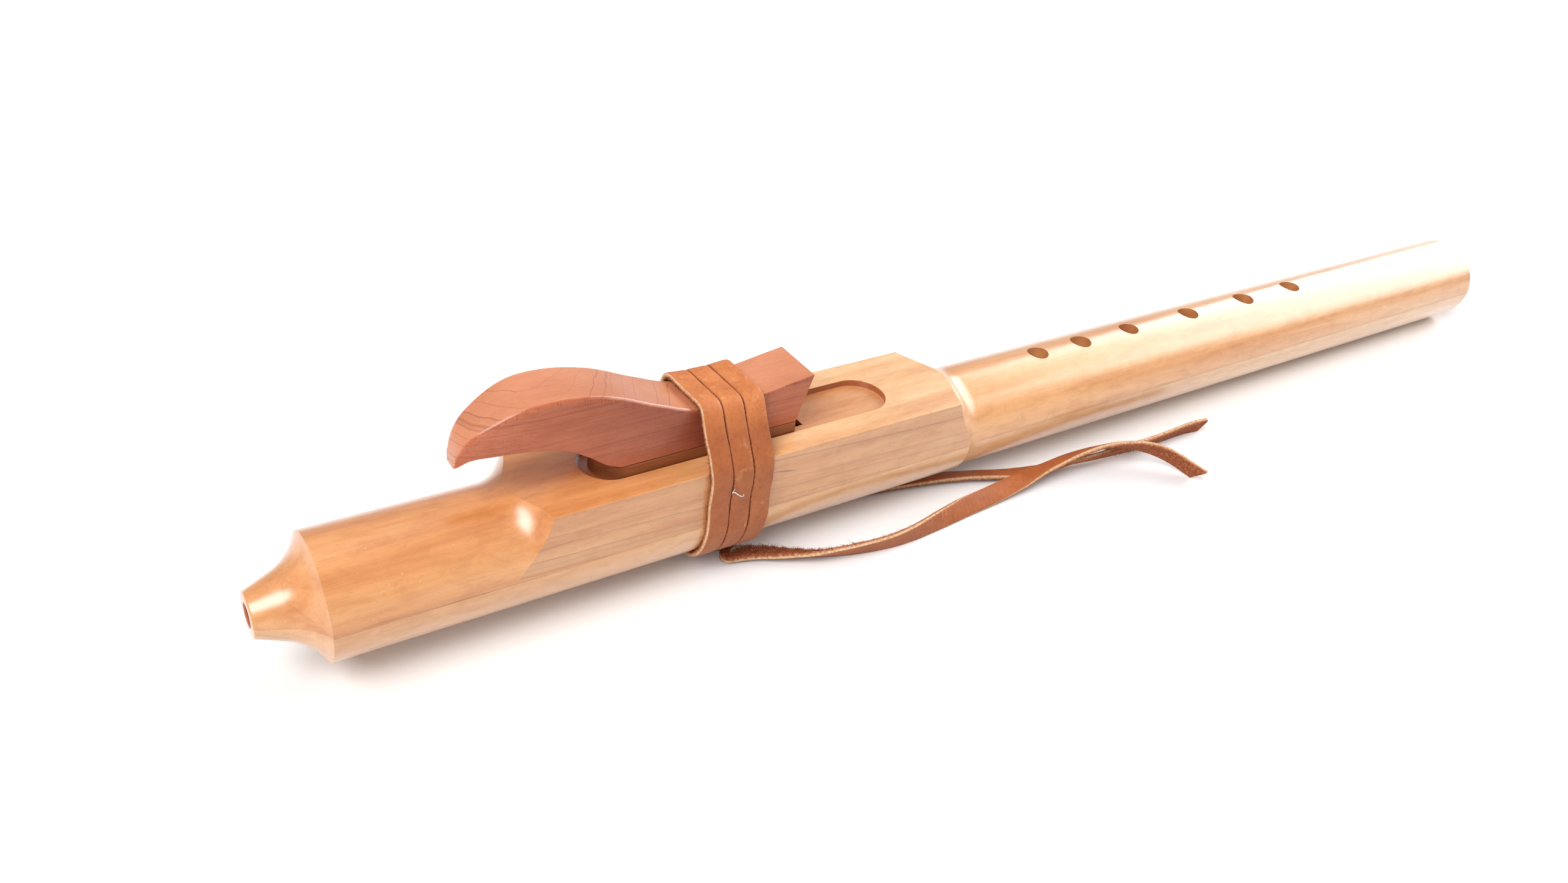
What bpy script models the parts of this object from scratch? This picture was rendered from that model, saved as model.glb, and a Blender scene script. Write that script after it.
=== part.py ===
"""A Native American style flute, lying on the knot of its lace.

The body is two glued halves of light hardwood: nozzle, round slow air chamber, square block with a flat
nest on top, and round sound chamber with six finger holes. A red cedar bird stands on a spacer plate in the
nest and is held by three turns of a flat leather lace, knotted underneath, with two free tails.

X runs along the flute with the mouth end at -X, the finger holes face +Z, and the origin is under the middle
of the flute on the surface that it lies on. All lengths are in metres. Places along the flute are counted
from the mouth end.
"""

import math

import bmesh
import bpy
from mathutils import Vector

# Body, outside
BODY_LENGTH = 0.498
BODY_RADIUS = 0.017
SOUND_CHAMBER_STEP = 0.0009
TIP_RADIUS = 0.0062
TIP_TAPER = math.radians(19.5)
TIP_CONE_LENGTH = 0.0065
TIP_COVE_RADIUS = 0.015
END_ROUNDING = 0.0007
BLOCK_TOP_RISE = 0.0008
MOUTH_COVE_START = 0.0615
MOUTH_COVE_RADIUS = 0.0108
FOOT_COVE_END = 0.2186
FOOT_COVE_RADIUS = 0.013

# Body, inside
BLOW_HOLE_RADIUS = 0.0031
BORE_RADIUS = 0.011
AIR_CHAMBER_START = 0.023
PLUG_LENGTH = 0.0465
EXIT_HOLE_LENGTH = 0.0065
FLUE_HALF_WIDTH = 0.0043
FLUE_DEPTH = 0.0018
SOUND_HOLE_LENGTH = 0.006
SOUND_BORE_START = 0.1495
SPLITTING_EDGE_THICKNESS = 0.0012
SPLITTING_RAMP_LENGTH = 0.007

# Nest, the flat recess on top of the block that holds the spacer plate
NEST_FRONT = 0.0865
NEST_REAR = 0.1876
NEST_HALF_WIDTH = 0.0089
NEST_DEPTH = 0.002

# Finger holes: place of each centre and its radius
FINGER_HOLES = [
    (0.2545, 0.00365),
    (0.2746, 0.0037),
    (0.2983, 0.00355),
    (0.3295, 0.0038),
    (0.3605, 0.00395),
    (0.3882, 0.0038),
]

# Spacer plate and bird
SPACER_FRONT = 0.09
SPACER_REAR = 0.1502
SPACER_THICKNESS = 0.0048
BIRD_HALF_WIDTH = 0.0086
BIRD_NOSE_LENGTH = 0.0218
BIRD_NOSE_BLUNTNESS = 0.33
BIRD_NOSE_TAPER = 1.25
BIRD_BEAK_FLAT = 0.0002
BIRD_EDGE_ROUNDING = 0.0007
BIRD_REAR_SLANT = 0.0046
# Top line of the bird from its beak to the rear, and its underside from the beak to where it meets the
# plate: distance behind the beak, height above the base
BIRD_TOP_LINE = [
    (0.0, 0.0086),
    (0.0009, 0.0133),
    (0.0035, 0.0174),
    (0.0088, 0.0211),
    (0.0165, 0.0244),
    (0.0262, 0.0251),
    (0.0396, 0.0226),
    (0.0545, 0.0163),
    (0.0655, 0.0122),
    (0.0755, 0.0115),
    (0.1034, 0.0145),
]
BIRD_UNDER_LINE = [
    (0.0, 0.0080),
    (0.0028, 0.0108),
    (0.0095, 0.0120),
    (0.018, 0.0119),
    (0.0265, 0.0100),
    (0.0345, 0.0054),
    (0.0395, 0.0016),
    (0.0435, 0.0),
]

# Lace
LACE_WIDTH = 0.00635
LACE_THICKNESS = 0.0018
LACE_TURNS = 3
WRAP_CENTRE_BEFORE_REAR = 0.0233
KNOT_THICKNESS = 0.0026
KNOT_LENGTH = 0.0145
KNOT_WIDTH = 0.014
KNOT_OFFSET = 0.0028
KNOT_ROUNDING = 0.0009

# Gaps: between touching pieces, between the glued halves, and round the plate in its nest
TOUCH_GAP = 0.0003
GLUE_GAP = 0.0003
NEST_CLEARANCE = 0.0003

# Free tails of the lace: points of the route in the part's own frame, and how far the lace is rolled there,
# in degrees. At 0 it lies flat with the flesh side up, at 90 it stands on edge, at 180 the grain side is up.
# The flute leans on its knot and on the foot end, so what the tails lie on rises slowly towards the foot.
NEAR_TAIL = [
    (-0.1203, -0.0091, 0.0013, 4),
    (-0.1154, -0.0104, 0.0013, 8),
    (-0.1105, -0.0124, 0.0016, 12),
    (-0.1054, -0.0155, 0.0019, 19),
    (-0.1002, -0.0187, 0.0023, 28),
    (-0.0946, -0.0221, 0.0029, 41),
    (-0.0892, -0.0242, 0.0033, 53),
    (-0.0806, -0.0264, 0.0036, 63),
    (-0.0715, -0.0278, 0.0039, 72),
    (-0.0641, -0.0279, 0.0041, 82),
    (-0.0515, -0.0264, 0.0043, 103),
    (-0.0384, -0.0243, 0.0041, 128),
    (-0.0256, -0.0230, 0.0041, 148),
    (-0.0135, -0.0223, 0.0052, 171),
    (-0.0075, -0.0220, 0.0062, 186),
    (-0.0015, -0.0221, 0.0072, 201),
    (0.0126, -0.0231, 0.0097, 213),
    (0.0215, -0.0251, 0.0111, 221),
    (0.0294, -0.0282, 0.0116, 228),
    (0.0370, -0.0322, 0.0107, 238),
    (0.0436, -0.0380, 0.0082, 248),
    (0.0466, -0.0435, 0.0063, 254),
    (0.0475, -0.0465, 0.0058, 256),
]
FAR_TAIL = [
    (-0.1161, 0.0034, 0.0012, 180),
    (-0.1090, 0.0035, 0.0012, 180),
    (-0.1000, 0.0034, 0.0013, 180),
    (-0.0850, 0.0026, 0.0016, 180),
    (-0.0700, 0.0010, 0.0019, 182),
    (-0.0570, -0.0012, 0.0022, 186),
    (-0.0444, -0.0041, 0.0026, 190),
    (-0.0352, -0.0067, 0.0029, 194),
    (-0.0261, -0.0099, 0.0032, 198),
    (-0.0153, -0.0142, 0.0033, 196),
    (-0.0085, -0.0165, 0.0031, 189),
    (-0.0027, -0.0186, 0.0034, 194),
    (0.0076, -0.0227, 0.0044, 218),
    (0.0133, -0.0241, 0.0048, 227),
    (0.0286, -0.0257, 0.0052, 236),
    (0.0465, -0.0249, 0.0056, 240),
    (0.0601, -0.0240, 0.0059, 243),
    (0.0665, -0.0240, 0.0060, 245),
    (0.0733, -0.0249, 0.0062, 248),
]
TAIL_POINT_SPACING = 0.0052

# How finely round shapes are drawn, and how far a cutter runs past what it cuts
BODY_SEGMENTS = 48
ARC_STEPS = 8
EDGE_STEPS = 2
HOLE_SEGMENTS = 24
BORE_SEGMENTS = 32
LINE_STEP = 0.0035
TURN_SAMPLES = 8
SHARP_ANGLE = math.radians(35)
MERGE_DISTANCE = 1e-6
OVERCUT = 0.002

# Worked out from the sizes above
CHAMBER_RADIUS = BODY_RADIUS - SOUND_CHAMBER_STEP
BLOCK_TOP_HEIGHT = BODY_RADIUS + BLOCK_TOP_RISE
WRAP_INNER = TOUCH_GAP
WRAP_OUTER = WRAP_INNER + LACE_THICKNESS
AXIS_HEIGHT = BODY_RADIUS + WRAP_OUTER + TOUCH_GAP + KNOT_THICKNESS
NEST_FLOOR = BLOCK_TOP_HEIGHT - NEST_DEPTH
SPACER_BASE = NEST_FLOOR + TOUCH_GAP
SPACER_TOP = SPACER_BASE + SPACER_THICKNESS
BIRD_BASE = SPACER_TOP + TOUCH_GAP
SPACER_HALF_WIDTH = NEST_HALF_WIDTH - NEST_CLEARANCE
BIRD_LENGTH = BIRD_TOP_LINE[-1][0]
BIRD_REAR = SPACER_REAR
BIRD_BEAK = BIRD_REAR + BIRD_REAR_SLANT - BIRD_LENGTH
SOUND_HOLE_START = SPACER_REAR
AIR_CHAMBER_END = SOUND_BORE_START - PLUG_LENGTH
WRAP_CENTRE = BIRD_REAR - WRAP_CENTRE_BEFORE_REAR
WRAP_PITCH = LACE_WIDTH + TOUCH_GAP


def clear_scene():
    """Removes every object of the file."""
    for obj in list(bpy.data.objects):
        bpy.data.objects.remove(obj, do_unlink=True)


def place(along, across, height):
    """A point of the part's frame, from a place along the flute and an offset from its axis."""
    return Vector((along - BODY_LENGTH / 2, across, height + AXIS_HEIGHT))


def make_material(name, colour, roughness):
    """A plain surface with that colour and roughness."""
    material = bpy.data.materials.new(name)
    material.use_nodes = True
    shader = material.node_tree.nodes["Principled BSDF"]
    shader.inputs["Base Color"].default_value = (*colour, 1.0)
    shader.inputs["Roughness"].default_value = roughness
    shader.inputs["Metallic"].default_value = 0.0
    return material


def add_mesh_object(name, mesh_data, material=None):
    """Turns a finished bmesh into an object of the scene."""
    bmesh.ops.recalc_face_normals(mesh_data, faces=mesh_data.faces)
    mesh = bpy.data.meshes.new(name)
    mesh_data.to_mesh(mesh)
    mesh_data.free()
    obj = bpy.data.objects.new(name, mesh)
    bpy.context.scene.collection.objects.link(obj)
    if material:
        mesh.materials.append(material)
        mesh.shade_smooth()
        mesh.set_sharp_from_angle(angle=SHARP_ANGLE)
    return obj


def as_cutter(obj):
    """Marks an object as a tool that only shapes others."""
    obj.hide_render = True
    obj.display_type = "WIRE"
    return obj


def cut(obj, cutter):
    """Takes the cutter's volume out of the object."""
    modifier = obj.modifiers.new(cutter.name, "BOOLEAN")
    modifier.operation = "DIFFERENCE"
    modifier.solver = "EXACT"
    modifier.object = cutter


def arc(centre, radius, start, end, steps=ARC_STEPS):
    """Points of a circular arc in a plane, from one angle to another."""
    angles = [start + (end - start) * i / steps for i in range(steps + 1)]
    return [(centre[0] + radius * math.cos(a), centre[1] + radius * math.sin(a)) for a in angles]


def smooth_line(knots, spacing):
    """Points of a smooth line through the knots, each knot among them, about that far apart."""
    points = [Vector(knot) for knot in knots]
    ends = [2 * points[0] - points[1]] + points + [2 * points[-1] - points[-2]]
    line = []
    for before, start, end, after in zip(ends, ends[1:], ends[2:], ends[3:]):
        chord = (end - start).length
        leave = tangent_at(before, start, end) * chord
        arrive = tangent_at(start, end, after) * chord
        steps = max(1, round(chord / spacing))
        for i in range(steps):
            t = i / steps
            line.append(
                start * (2 * t**3 - 3 * t**2 + 1)
                + leave * (t**3 - 2 * t**2 + t)
                + end * (3 * t**2 - 2 * t**3)
                + arrive * (t**3 - t**2)
            )
    line.append(points[-1])
    return line


def tangent_at(before, point, after):
    """Direction of a smooth line at a knot, weighted by how near its neighbours are."""
    back = point - before
    ahead = after - point
    return (back * ahead.length / back.length + ahead * back.length / ahead.length) / (back + ahead).length


def height_on(line, distance):
    """Height of a line of (distance, height) points at a distance."""
    for start, end in zip(line, line[1:]):
        if start[0] <= distance <= end[0]:
            share = (distance - start[0]) / (end[0] - start[0])
            return start[1] + share * (end[1] - start[1])
    return line[0][1] if distance < line[0][0] else line[-1][1]


def prism(outline, low, high, axis):
    """A closed prism on an outline: axis Z gives (along, across) outlines, axis X (across, height) ones and
    axis Y (along, height) ones."""
    order = {
        "X": lambda a, b, level: place(level, a, b),
        "Y": lambda a, b, level: place(a, level, b),
        "Z": lambda a, b, level: place(a, b, level),
    }[axis]
    mesh_data = bmesh.new()
    rings = [[mesh_data.verts.new(order(a, b, level)) for a, b in outline] for level in (low, high)]
    mesh_data.faces.new(rings[0])
    mesh_data.faces.new(rings[1])
    for i in range(len(outline)):
        j = (i + 1) % len(outline)
        mesh_data.faces.new((rings[0][i], rings[0][j], rings[1][j], rings[1][i]))
    return mesh_data


def turned(profile, segments):
    """A solid turned round the flute's axis, from (place, radius) points that start and end on the axis."""
    mesh_data = bmesh.new()
    angles = [2 * math.pi * i / segments for i in range(segments)]
    first = mesh_data.verts.new(place(profile[0][0], 0, 0))
    last = mesh_data.verts.new(place(profile[-1][0], 0, 0))
    rings = [
        [mesh_data.verts.new(place(x, r * math.cos(a), r * math.sin(a))) for a in angles]
        for x, r in profile[1:-1]
    ]
    for i in range(segments):
        j = (i + 1) % segments
        mesh_data.faces.new((first, rings[0][i], rings[0][j]))
        mesh_data.faces.new((last, rings[-1][j], rings[-1][i]))
        for ring, following in zip(rings, rings[1:]):
            mesh_data.faces.new((ring[i], ring[j], following[j], following[i]))
    return mesh_data


def cove_radius(centre_radius, cove, depth):
    """Half chord of a cove at a depth from its centre line: how far along it has run."""
    return math.sqrt(max(0.0, cove**2 - (centre_radius - depth) ** 2))


def nozzle_profile():
    """Points of the turned nozzle, from the tip to the crest where it reaches the body's radius."""
    cone_end = TIP_RADIUS + TIP_CONE_LENGTH * math.tan(TIP_TAPER)
    centre = (
        TIP_CONE_LENGTH - TIP_COVE_RADIUS * math.sin(TIP_TAPER),
        cone_end + TIP_COVE_RADIUS * math.cos(TIP_TAPER),
    )
    crest_angle = -math.asin((centre[1] - BODY_RADIUS) / TIP_COVE_RADIUS)
    edge_centre = (END_ROUNDING, TIP_RADIUS - END_ROUNDING)
    tip_edge = arc(edge_centre, END_ROUNDING, math.pi, math.pi / 2, EDGE_STEPS)
    cone_angle = TIP_TAPER - math.pi / 2
    return tip_edge + arc(centre, TIP_COVE_RADIUS, cone_angle, crest_angle)


def block_radius(angle):
    """Distance from the axis to the block's surface: flat top, flat sides, half-round underside."""
    across, up = abs(math.cos(angle)), math.sin(angle)
    if up <= 0:
        return BODY_RADIUS
    return min(BODY_RADIUS / max(across, MERGE_DISTANCE), BLOCK_TOP_HEIGHT / up)


def mouth_cove(radius):
    """Place where the cove before the block reaches a radius."""
    return MOUTH_COVE_START + cove_radius(BODY_RADIUS + MOUTH_COVE_RADIUS, MOUTH_COVE_RADIUS, radius)


def foot_cove(radius):
    """Place where the cove behind the block reaches a radius."""
    return FOOT_COVE_END - cove_radius(CHAMBER_RADIUS + FOOT_COVE_RADIUS, FOOT_COVE_RADIUS, radius)


def body_row(angle):
    """(place, radius) points of the body's outside in one direction, from the tip to the foot."""
    corner = block_radius(angle)
    row = nozzle_profile()
    for i in range(ARC_STEPS + 1):
        turn = i / ARC_STEPS
        top = math.acos(max(-1.0, 1 - (corner - BODY_RADIUS) / MOUTH_COVE_RADIUS))
        radius = BODY_RADIUS + MOUTH_COVE_RADIUS * (1 - math.cos(top * turn))
        row.append((mouth_cove(radius), radius))
    for i in range(ARC_STEPS, -1, -1):
        turn = i / ARC_STEPS
        top = math.acos(max(-1.0, 1 - (corner - CHAMBER_RADIUS) / FOOT_COVE_RADIUS))
        radius = CHAMBER_RADIUS + FOOT_COVE_RADIUS * (1 - math.cos(top * turn))
        row.append((foot_cove(radius), radius))
    edge_centre = (BODY_LENGTH - END_ROUNDING, CHAMBER_RADIUS - END_ROUNDING)
    return row + arc(edge_centre, END_ROUNDING, math.pi / 2, 0, EDGE_STEPS)


def body_half(name, side, material):
    """One half of the body without its hollows: side is 1 for the upper half and -1 for the lower one."""
    corner = math.atan2(BLOCK_TOP_HEIGHT, BODY_RADIUS)
    half = BODY_SEGMENTS // 2
    angles = [math.pi * i / half for i in range(half + 1)]
    if side > 0:
        angles = sorted(angles + [corner, math.pi - corner])
    mesh_data = bmesh.new()
    rows = []
    for angle in angles:
        row = []
        for x, radius in body_row(side * angle):
            height = max(abs(radius * math.sin(angle)), GLUE_GAP / 2)
            row.append(mesh_data.verts.new(place(x, radius * math.cos(angle), side * height)))
        rows.append(row)
    for row, following in zip(rows, rows[1:]):
        for i in range(len(row) - 1):
            mesh_data.faces.new((row[i], row[i + 1], following[i + 1], following[i]))
    mesh_data.faces.new([row[0] for row in rows])
    mesh_data.faces.new([row[-1] for row in rows])
    mesh_data.faces.new(rows[0] + rows[-1][::-1])
    bmesh.ops.remove_doubles(mesh_data, verts=mesh_data.verts, dist=MERGE_DISTANCE)
    bmesh.ops.dissolve_degenerate(mesh_data, edges=mesh_data.edges, dist=MERGE_DISTANCE)
    return add_mesh_object(name, mesh_data, material)


def chamber(name, start, end):
    """Cutter for a round chamber with a round-nosed front and a flat end."""
    rounding = BORE_RADIUS / 2
    nose = arc((start + rounding, rounding), rounding, math.pi, math.pi / 2, ARC_STEPS // 2)
    profile = [(start, 0.0)] + nose + [(end, BORE_RADIUS), (end, 0.0)]
    return as_cutter(add_mesh_object(name, turned(profile, BORE_SEGMENTS)))


def stadium(front, rear, half_width):
    """Outline of a slot with round ends, as (along, across) points."""
    front_end = arc((front + half_width, 0), half_width, math.pi / 2, 3 * math.pi / 2, 2 * ARC_STEPS)
    rear_end = arc((rear - half_width, 0), half_width, -math.pi / 2, math.pi / 2, 2 * ARC_STEPS)
    return front_end + rear_end


def body_cutters():
    """The hollows of the body: those of both halves, and those of the upper half alone."""
    blow_hole = [
        (-OVERCUT, 0.0),
        (-OVERCUT, BLOW_HOLE_RADIUS),
        (AIR_CHAMBER_START + BORE_RADIUS, BLOW_HOLE_RADIUS),
        (AIR_CHAMBER_START + BORE_RADIUS, 0.0),
    ]
    both = [
        as_cutter(add_mesh_object("blow_hole_cutter", turned(blow_hole, HOLE_SEGMENTS))),
        chamber("air_chamber_cutter", AIR_CHAMBER_START, AIR_CHAMBER_END),
        chamber("sound_bore_cutter", SOUND_BORE_START, BODY_LENGTH + OVERCUT),
    ]
    above = BLOCK_TOP_HEIGHT + OVERCUT
    through = NEST_FLOOR + OVERCUT / 2
    nest = prism(stadium(NEST_FRONT, NEST_REAR, NEST_HALF_WIDTH), NEST_FLOOR, above, "Z")
    holes = {
        "nest_cutter": nest,
        "exit_hole_cutter": box(AIR_CHAMBER_END - EXIT_HOLE_LENGTH, AIR_CHAMBER_END, 0.0, through),
        "sound_hole_cutter": box(SOUND_HOLE_START, SOUND_HOLE_START + SOUND_HOLE_LENGTH, 0.0, through),
        "splitting_ramp_cutter": splitting_ramp(),
        "finger_hole_cutter": finger_holes(),
    }
    upper = [as_cutter(add_mesh_object(name, mesh_data)) for name, mesh_data in holes.items()]
    return both, upper


def box(front, rear, low, high):
    """A plain box as wide as the flue."""
    half = FLUE_HALF_WIDTH
    return prism([(front, -half), (rear, -half), (rear, half), (front, half)], low, high, "Z")


def splitting_ramp():
    """The slope under the sound hole's rear edge, which leaves that edge thin."""
    edge = SOUND_HOLE_START + SOUND_HOLE_LENGTH
    low = BORE_RADIUS / 2
    outline = [
        (edge - SOUND_HOLE_LENGTH / 2, NEST_FLOOR - SPLITTING_EDGE_THICKNESS),
        (edge, NEST_FLOOR - SPLITTING_EDGE_THICKNESS),
        (edge + SPLITTING_RAMP_LENGTH, low),
        (edge - SOUND_HOLE_LENGTH / 2, low),
    ]
    inset = FLUE_HALF_WIDTH - TOUCH_GAP
    return prism(outline, -inset, inset, "Y")


def finger_holes():
    """The six finger holes, drilled from the top into the bore."""
    mesh_data = bmesh.new()
    for x, radius in FINGER_HOLES:
        rings = []
        for level in (BORE_RADIUS / 2, CHAMBER_RADIUS + OVERCUT):
            outline = arc((x, 0.0), radius, 0.0, 2 * math.pi, HOLE_SEGMENTS)[:-1]
            rings.append([mesh_data.verts.new(place(a, b, level)) for a, b in outline])
        mesh_data.faces.new(rings[0])
        mesh_data.faces.new(rings[1])
        for i in range(HOLE_SEGMENTS):
            j = (i + 1) % HOLE_SEGMENTS
            mesh_data.faces.new((rings[0][i], rings[0][j], rings[1][j], rings[1][i]))
    return mesh_data


def make_body(material):
    """Both halves of the body with their hollows."""
    top = body_half("body_top_half", 1, material)
    bottom = body_half("body_bottom_half", -1, material)
    both, upper = body_cutters()
    for cutter in both:
        cut(top, cutter)
        cut(bottom, cutter)
    for cutter in upper:
        cut(top, cutter)


def make_spacer(material):
    """The plate in the nest: round nose, square rear, and the flue along its underside."""
    nose = arc(
        (SPACER_FRONT + SPACER_HALF_WIDTH, 0), SPACER_HALF_WIDTH, math.pi / 2, 3 * math.pi / 2, 2 * ARC_STEPS
    )
    outline = nose + [(SPACER_REAR, -SPACER_HALF_WIDTH), (SPACER_REAR, SPACER_HALF_WIDTH)]
    plate = add_mesh_object("spacer_plate", prism(outline, SPACER_BASE, SPACER_TOP, "Z"), material)
    flue_start = AIR_CHAMBER_END - EXIT_HOLE_LENGTH
    flue = box(flue_start, SPACER_REAR + OVERCUT, SPACER_BASE - OVERCUT, SPACER_BASE + FLUE_DEPTH)
    cut(plate, as_cutter(add_mesh_object("flue_cutter", flue)))


def bird_half_width(distance):
    """Half width of the bird at a distance behind its beak: a blunt pointed nose, then parallel sides."""
    left = 1 - min(1.0, (distance + BIRD_BEAK_FLAT) / BIRD_NOSE_LENGTH)
    return BIRD_HALF_WIDTH * (1 - left**BIRD_NOSE_TAPER) ** BIRD_NOSE_BLUNTNESS


def bird_top_line():
    """Points of the bird's top line, as (distance behind the beak, height above the base)."""
    return [(p.x, p.y) for p in smooth_line(BIRD_TOP_LINE, LINE_STEP)]


def bird_under_line():
    """Points of the bird's underside, from the beak to its rear bottom edge."""
    arch = [(p.x, max(0.0, p.y)) for p in smooth_line(BIRD_UNDER_LINE, LINE_STEP)]
    return arch + [(BIRD_LENGTH - BIRD_REAR_SLANT, 0.0)]


def make_bird(material):
    """The bird: its side view swept across, with a nose that narrows in plan and rounded long edges."""
    top, under = bird_top_line(), bird_under_line()
    stations = [point[0] for point in top]
    stretch = (BIRD_LENGTH - BIRD_REAR_SLANT) / BIRD_LENGTH
    rounding = BIRD_EDGE_ROUNDING
    mesh_data = bmesh.new()
    rings = []
    for distance, height in zip(stations, [point[1] for point in top]):
        share = distance / BIRD_LENGTH
        low_distance = distance * (1 - share) + distance * stretch * share
        low = height_on(under, low_distance)
        half, low_half = bird_half_width(distance), bird_half_width(low_distance)
        edge = min(rounding, half / 3, (height - low) / 3)
        ring = [
            (low_distance, -low_half + edge, low),
            (low_distance, -low_half, low + edge),
            (distance, -half, height - edge),
            (distance, -half + edge, height),
            (distance, half - edge, height),
            (distance, half, height - edge),
            (low_distance, low_half, low + edge),
            (low_distance, low_half - edge, low),
        ]
        rings.append([mesh_data.verts.new(place(BIRD_BEAK + d, y, BIRD_BASE + z)) for d, y, z in ring])
    mesh_data.faces.new(rings[0])
    mesh_data.faces.new(rings[-1])
    for ring, following in zip(rings, rings[1:]):
        for i in range(len(ring)):
            j = (i + 1) % len(ring)
            mesh_data.faces.new((ring[i], ring[j], following[j], following[i]))
    return add_mesh_object("bird", mesh_data, material)


def wrap_outline(offset, bird_top):
    """Outline of a turn of lace round block and bird, as (across, height) points, offset from the wood."""
    shoulder = (BODY_RADIUS, BLOCK_TOP_HEIGHT)
    crest = (BIRD_HALF_WIDTH, bird_top)
    lean = math.atan2(shoulder[0] - crest[0], crest[1] - shoulder[1])
    over_crest = arc(crest, offset, lean, math.pi / 2, 2 * EDGE_STEPS)
    right = arc(shoulder, offset, 0.0, lean, EDGE_STEPS) + over_crest
    left = [(-a, b) for a, b in reversed(right)]
    return right + left + arc((0.0, 0.0), BODY_RADIUS + offset, math.pi, 2 * math.pi, BODY_SEGMENTS // 2)


def make_turn(index, material):
    """One closed turn of the lace."""
    centre = WRAP_CENTRE + WRAP_PITCH * (index - (LACE_TURNS - 1) / 2)
    front, rear = centre - LACE_WIDTH / 2, centre + LACE_WIDTH / 2
    line = bird_top_line()
    over = [front + LACE_WIDTH * i / TURN_SAMPLES - BIRD_BEAK for i in range(TURN_SAMPLES + 1)]
    bird_top = BIRD_BASE + max(height_on(line, distance) for distance in over)
    mesh_data = bmesh.new()
    loops = [
        [mesh_data.verts.new(place(x, a, b)) for a, b in wrap_outline(offset, bird_top)]
        for x, offset in ((front, WRAP_INNER), (rear, WRAP_INNER), (rear, WRAP_OUTER), (front, WRAP_OUTER))
    ]
    for loop, following in zip(loops, loops[1:] + loops[:1]):
        for i in range(len(loop)):
            j = (i + 1) % len(loop)
            mesh_data.faces.new((loop[i], loop[j], following[j], following[i]))
    bmesh.ops.remove_doubles(mesh_data, verts=mesh_data.verts, dist=MERGE_DISTANCE)
    add_mesh_object(f"lace_turn_{index + 1}", mesh_data, material)


def make_knot(material):
    """The flat knot under the block, hollowed to the turns above it."""
    top = -BODY_RADIUS / 2
    low = -AXIS_HEIGHT
    centre = Vector((WRAP_CENTRE - LACE_WIDTH / 4, KNOT_OFFSET))
    mesh_data = bmesh.new()
    bmesh.ops.create_cube(mesh_data, size=1.0)
    middle = place(centre.x, centre.y, (top + low) / 2)
    for vertex in mesh_data.verts:
        size = Vector((KNOT_LENGTH, KNOT_WIDTH, top - low))
        vertex.co = middle + Vector(vertex.co[i] * size[i] for i in range(3))
    edges = mesh_data.edges
    bmesh.ops.bevel(mesh_data, geom=edges, offset=KNOT_ROUNDING, segments=EDGE_STEPS, affect="EDGES")
    knot = add_mesh_object("lace_knot", mesh_data, material)
    reach = KNOT_LENGTH
    radius = BODY_RADIUS + WRAP_OUTER + TOUCH_GAP
    profile = [
        (centre.x - reach, 0.0),
        (centre.x - reach, radius),
        (centre.x + reach, radius),
        (centre.x + reach, 0.0),
    ]
    cut(knot, as_cutter(add_mesh_object("knot_seat_cutter", turned(profile, 2 * BODY_SEGMENTS))))


def make_tail(name, route, material):
    """A free end of the flat lace: a thin strip with round edges, rolled about its own line."""
    flat_route = [(x, y, z) for x, y, z, _ in route]
    points = smooth_line(flat_route, TAIL_POINT_SPACING)
    rolls = [math.radians(roll) for *_, roll in route]
    curve = bpy.data.curves.new(name, "CURVE")
    curve.dimensions = "3D"
    curve.twist_mode = "Z_UP"
    curve.bevel_depth = LACE_THICKNESS / 2
    curve.bevel_resolution = EDGE_STEPS
    curve.extrude = (LACE_WIDTH - LACE_THICKNESS) / 2
    curve.use_fill_caps = True
    spline = curve.splines.new("POLY")
    spline.points.add(len(points) - 1)
    knots = [nearest_index(points, Vector(knot)) for knot in flat_route]
    for i, point in enumerate(points):
        spline.points[i].co = (*point, 1.0)
        spline.points[i].tilt = math.pi / 2 - value_between(knots, rolls, i)
    curve.materials.append(material)
    obj = bpy.data.objects.new(name, curve)
    bpy.context.scene.collection.objects.link(obj)
    return obj


def nearest_index(points, target):
    """Index of the point nearest to a target."""
    return min(range(len(points)), key=lambda i: (points[i] - target).length)


def value_between(places, values, at):
    """Straight-line value between two known places."""
    for start, end, low, high in zip(places, places[1:], values, values[1:]):
        if start <= at <= end:
            return low + (high - low) * (at - start) / max(1, end - start)
    return values[-1]


def main():
    clear_scene()
    body_wood = make_material("body_wood", (0.72, 0.44, 0.24), 0.35)
    spacer_wood = make_material("spacer_wood", (0.45, 0.26, 0.12), 0.55)
    cedar = make_material("cedar", (0.55, 0.24, 0.16), 0.4)
    leather = make_material("lace_leather", (0.56, 0.28, 0.13), 0.7)
    make_body(body_wood)
    make_spacer(spacer_wood)
    make_bird(cedar)
    for index in range(LACE_TURNS):
        make_turn(index, leather)
    make_knot(leather)
    make_tail("lace_tail_near", NEAR_TAIL, leather)
    make_tail("lace_tail_far", FAR_TAIL, leather)


main()
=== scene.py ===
import math
import random

import bmesh
import bpy
from mathutils import Matrix, Vector, noise as wander


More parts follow.
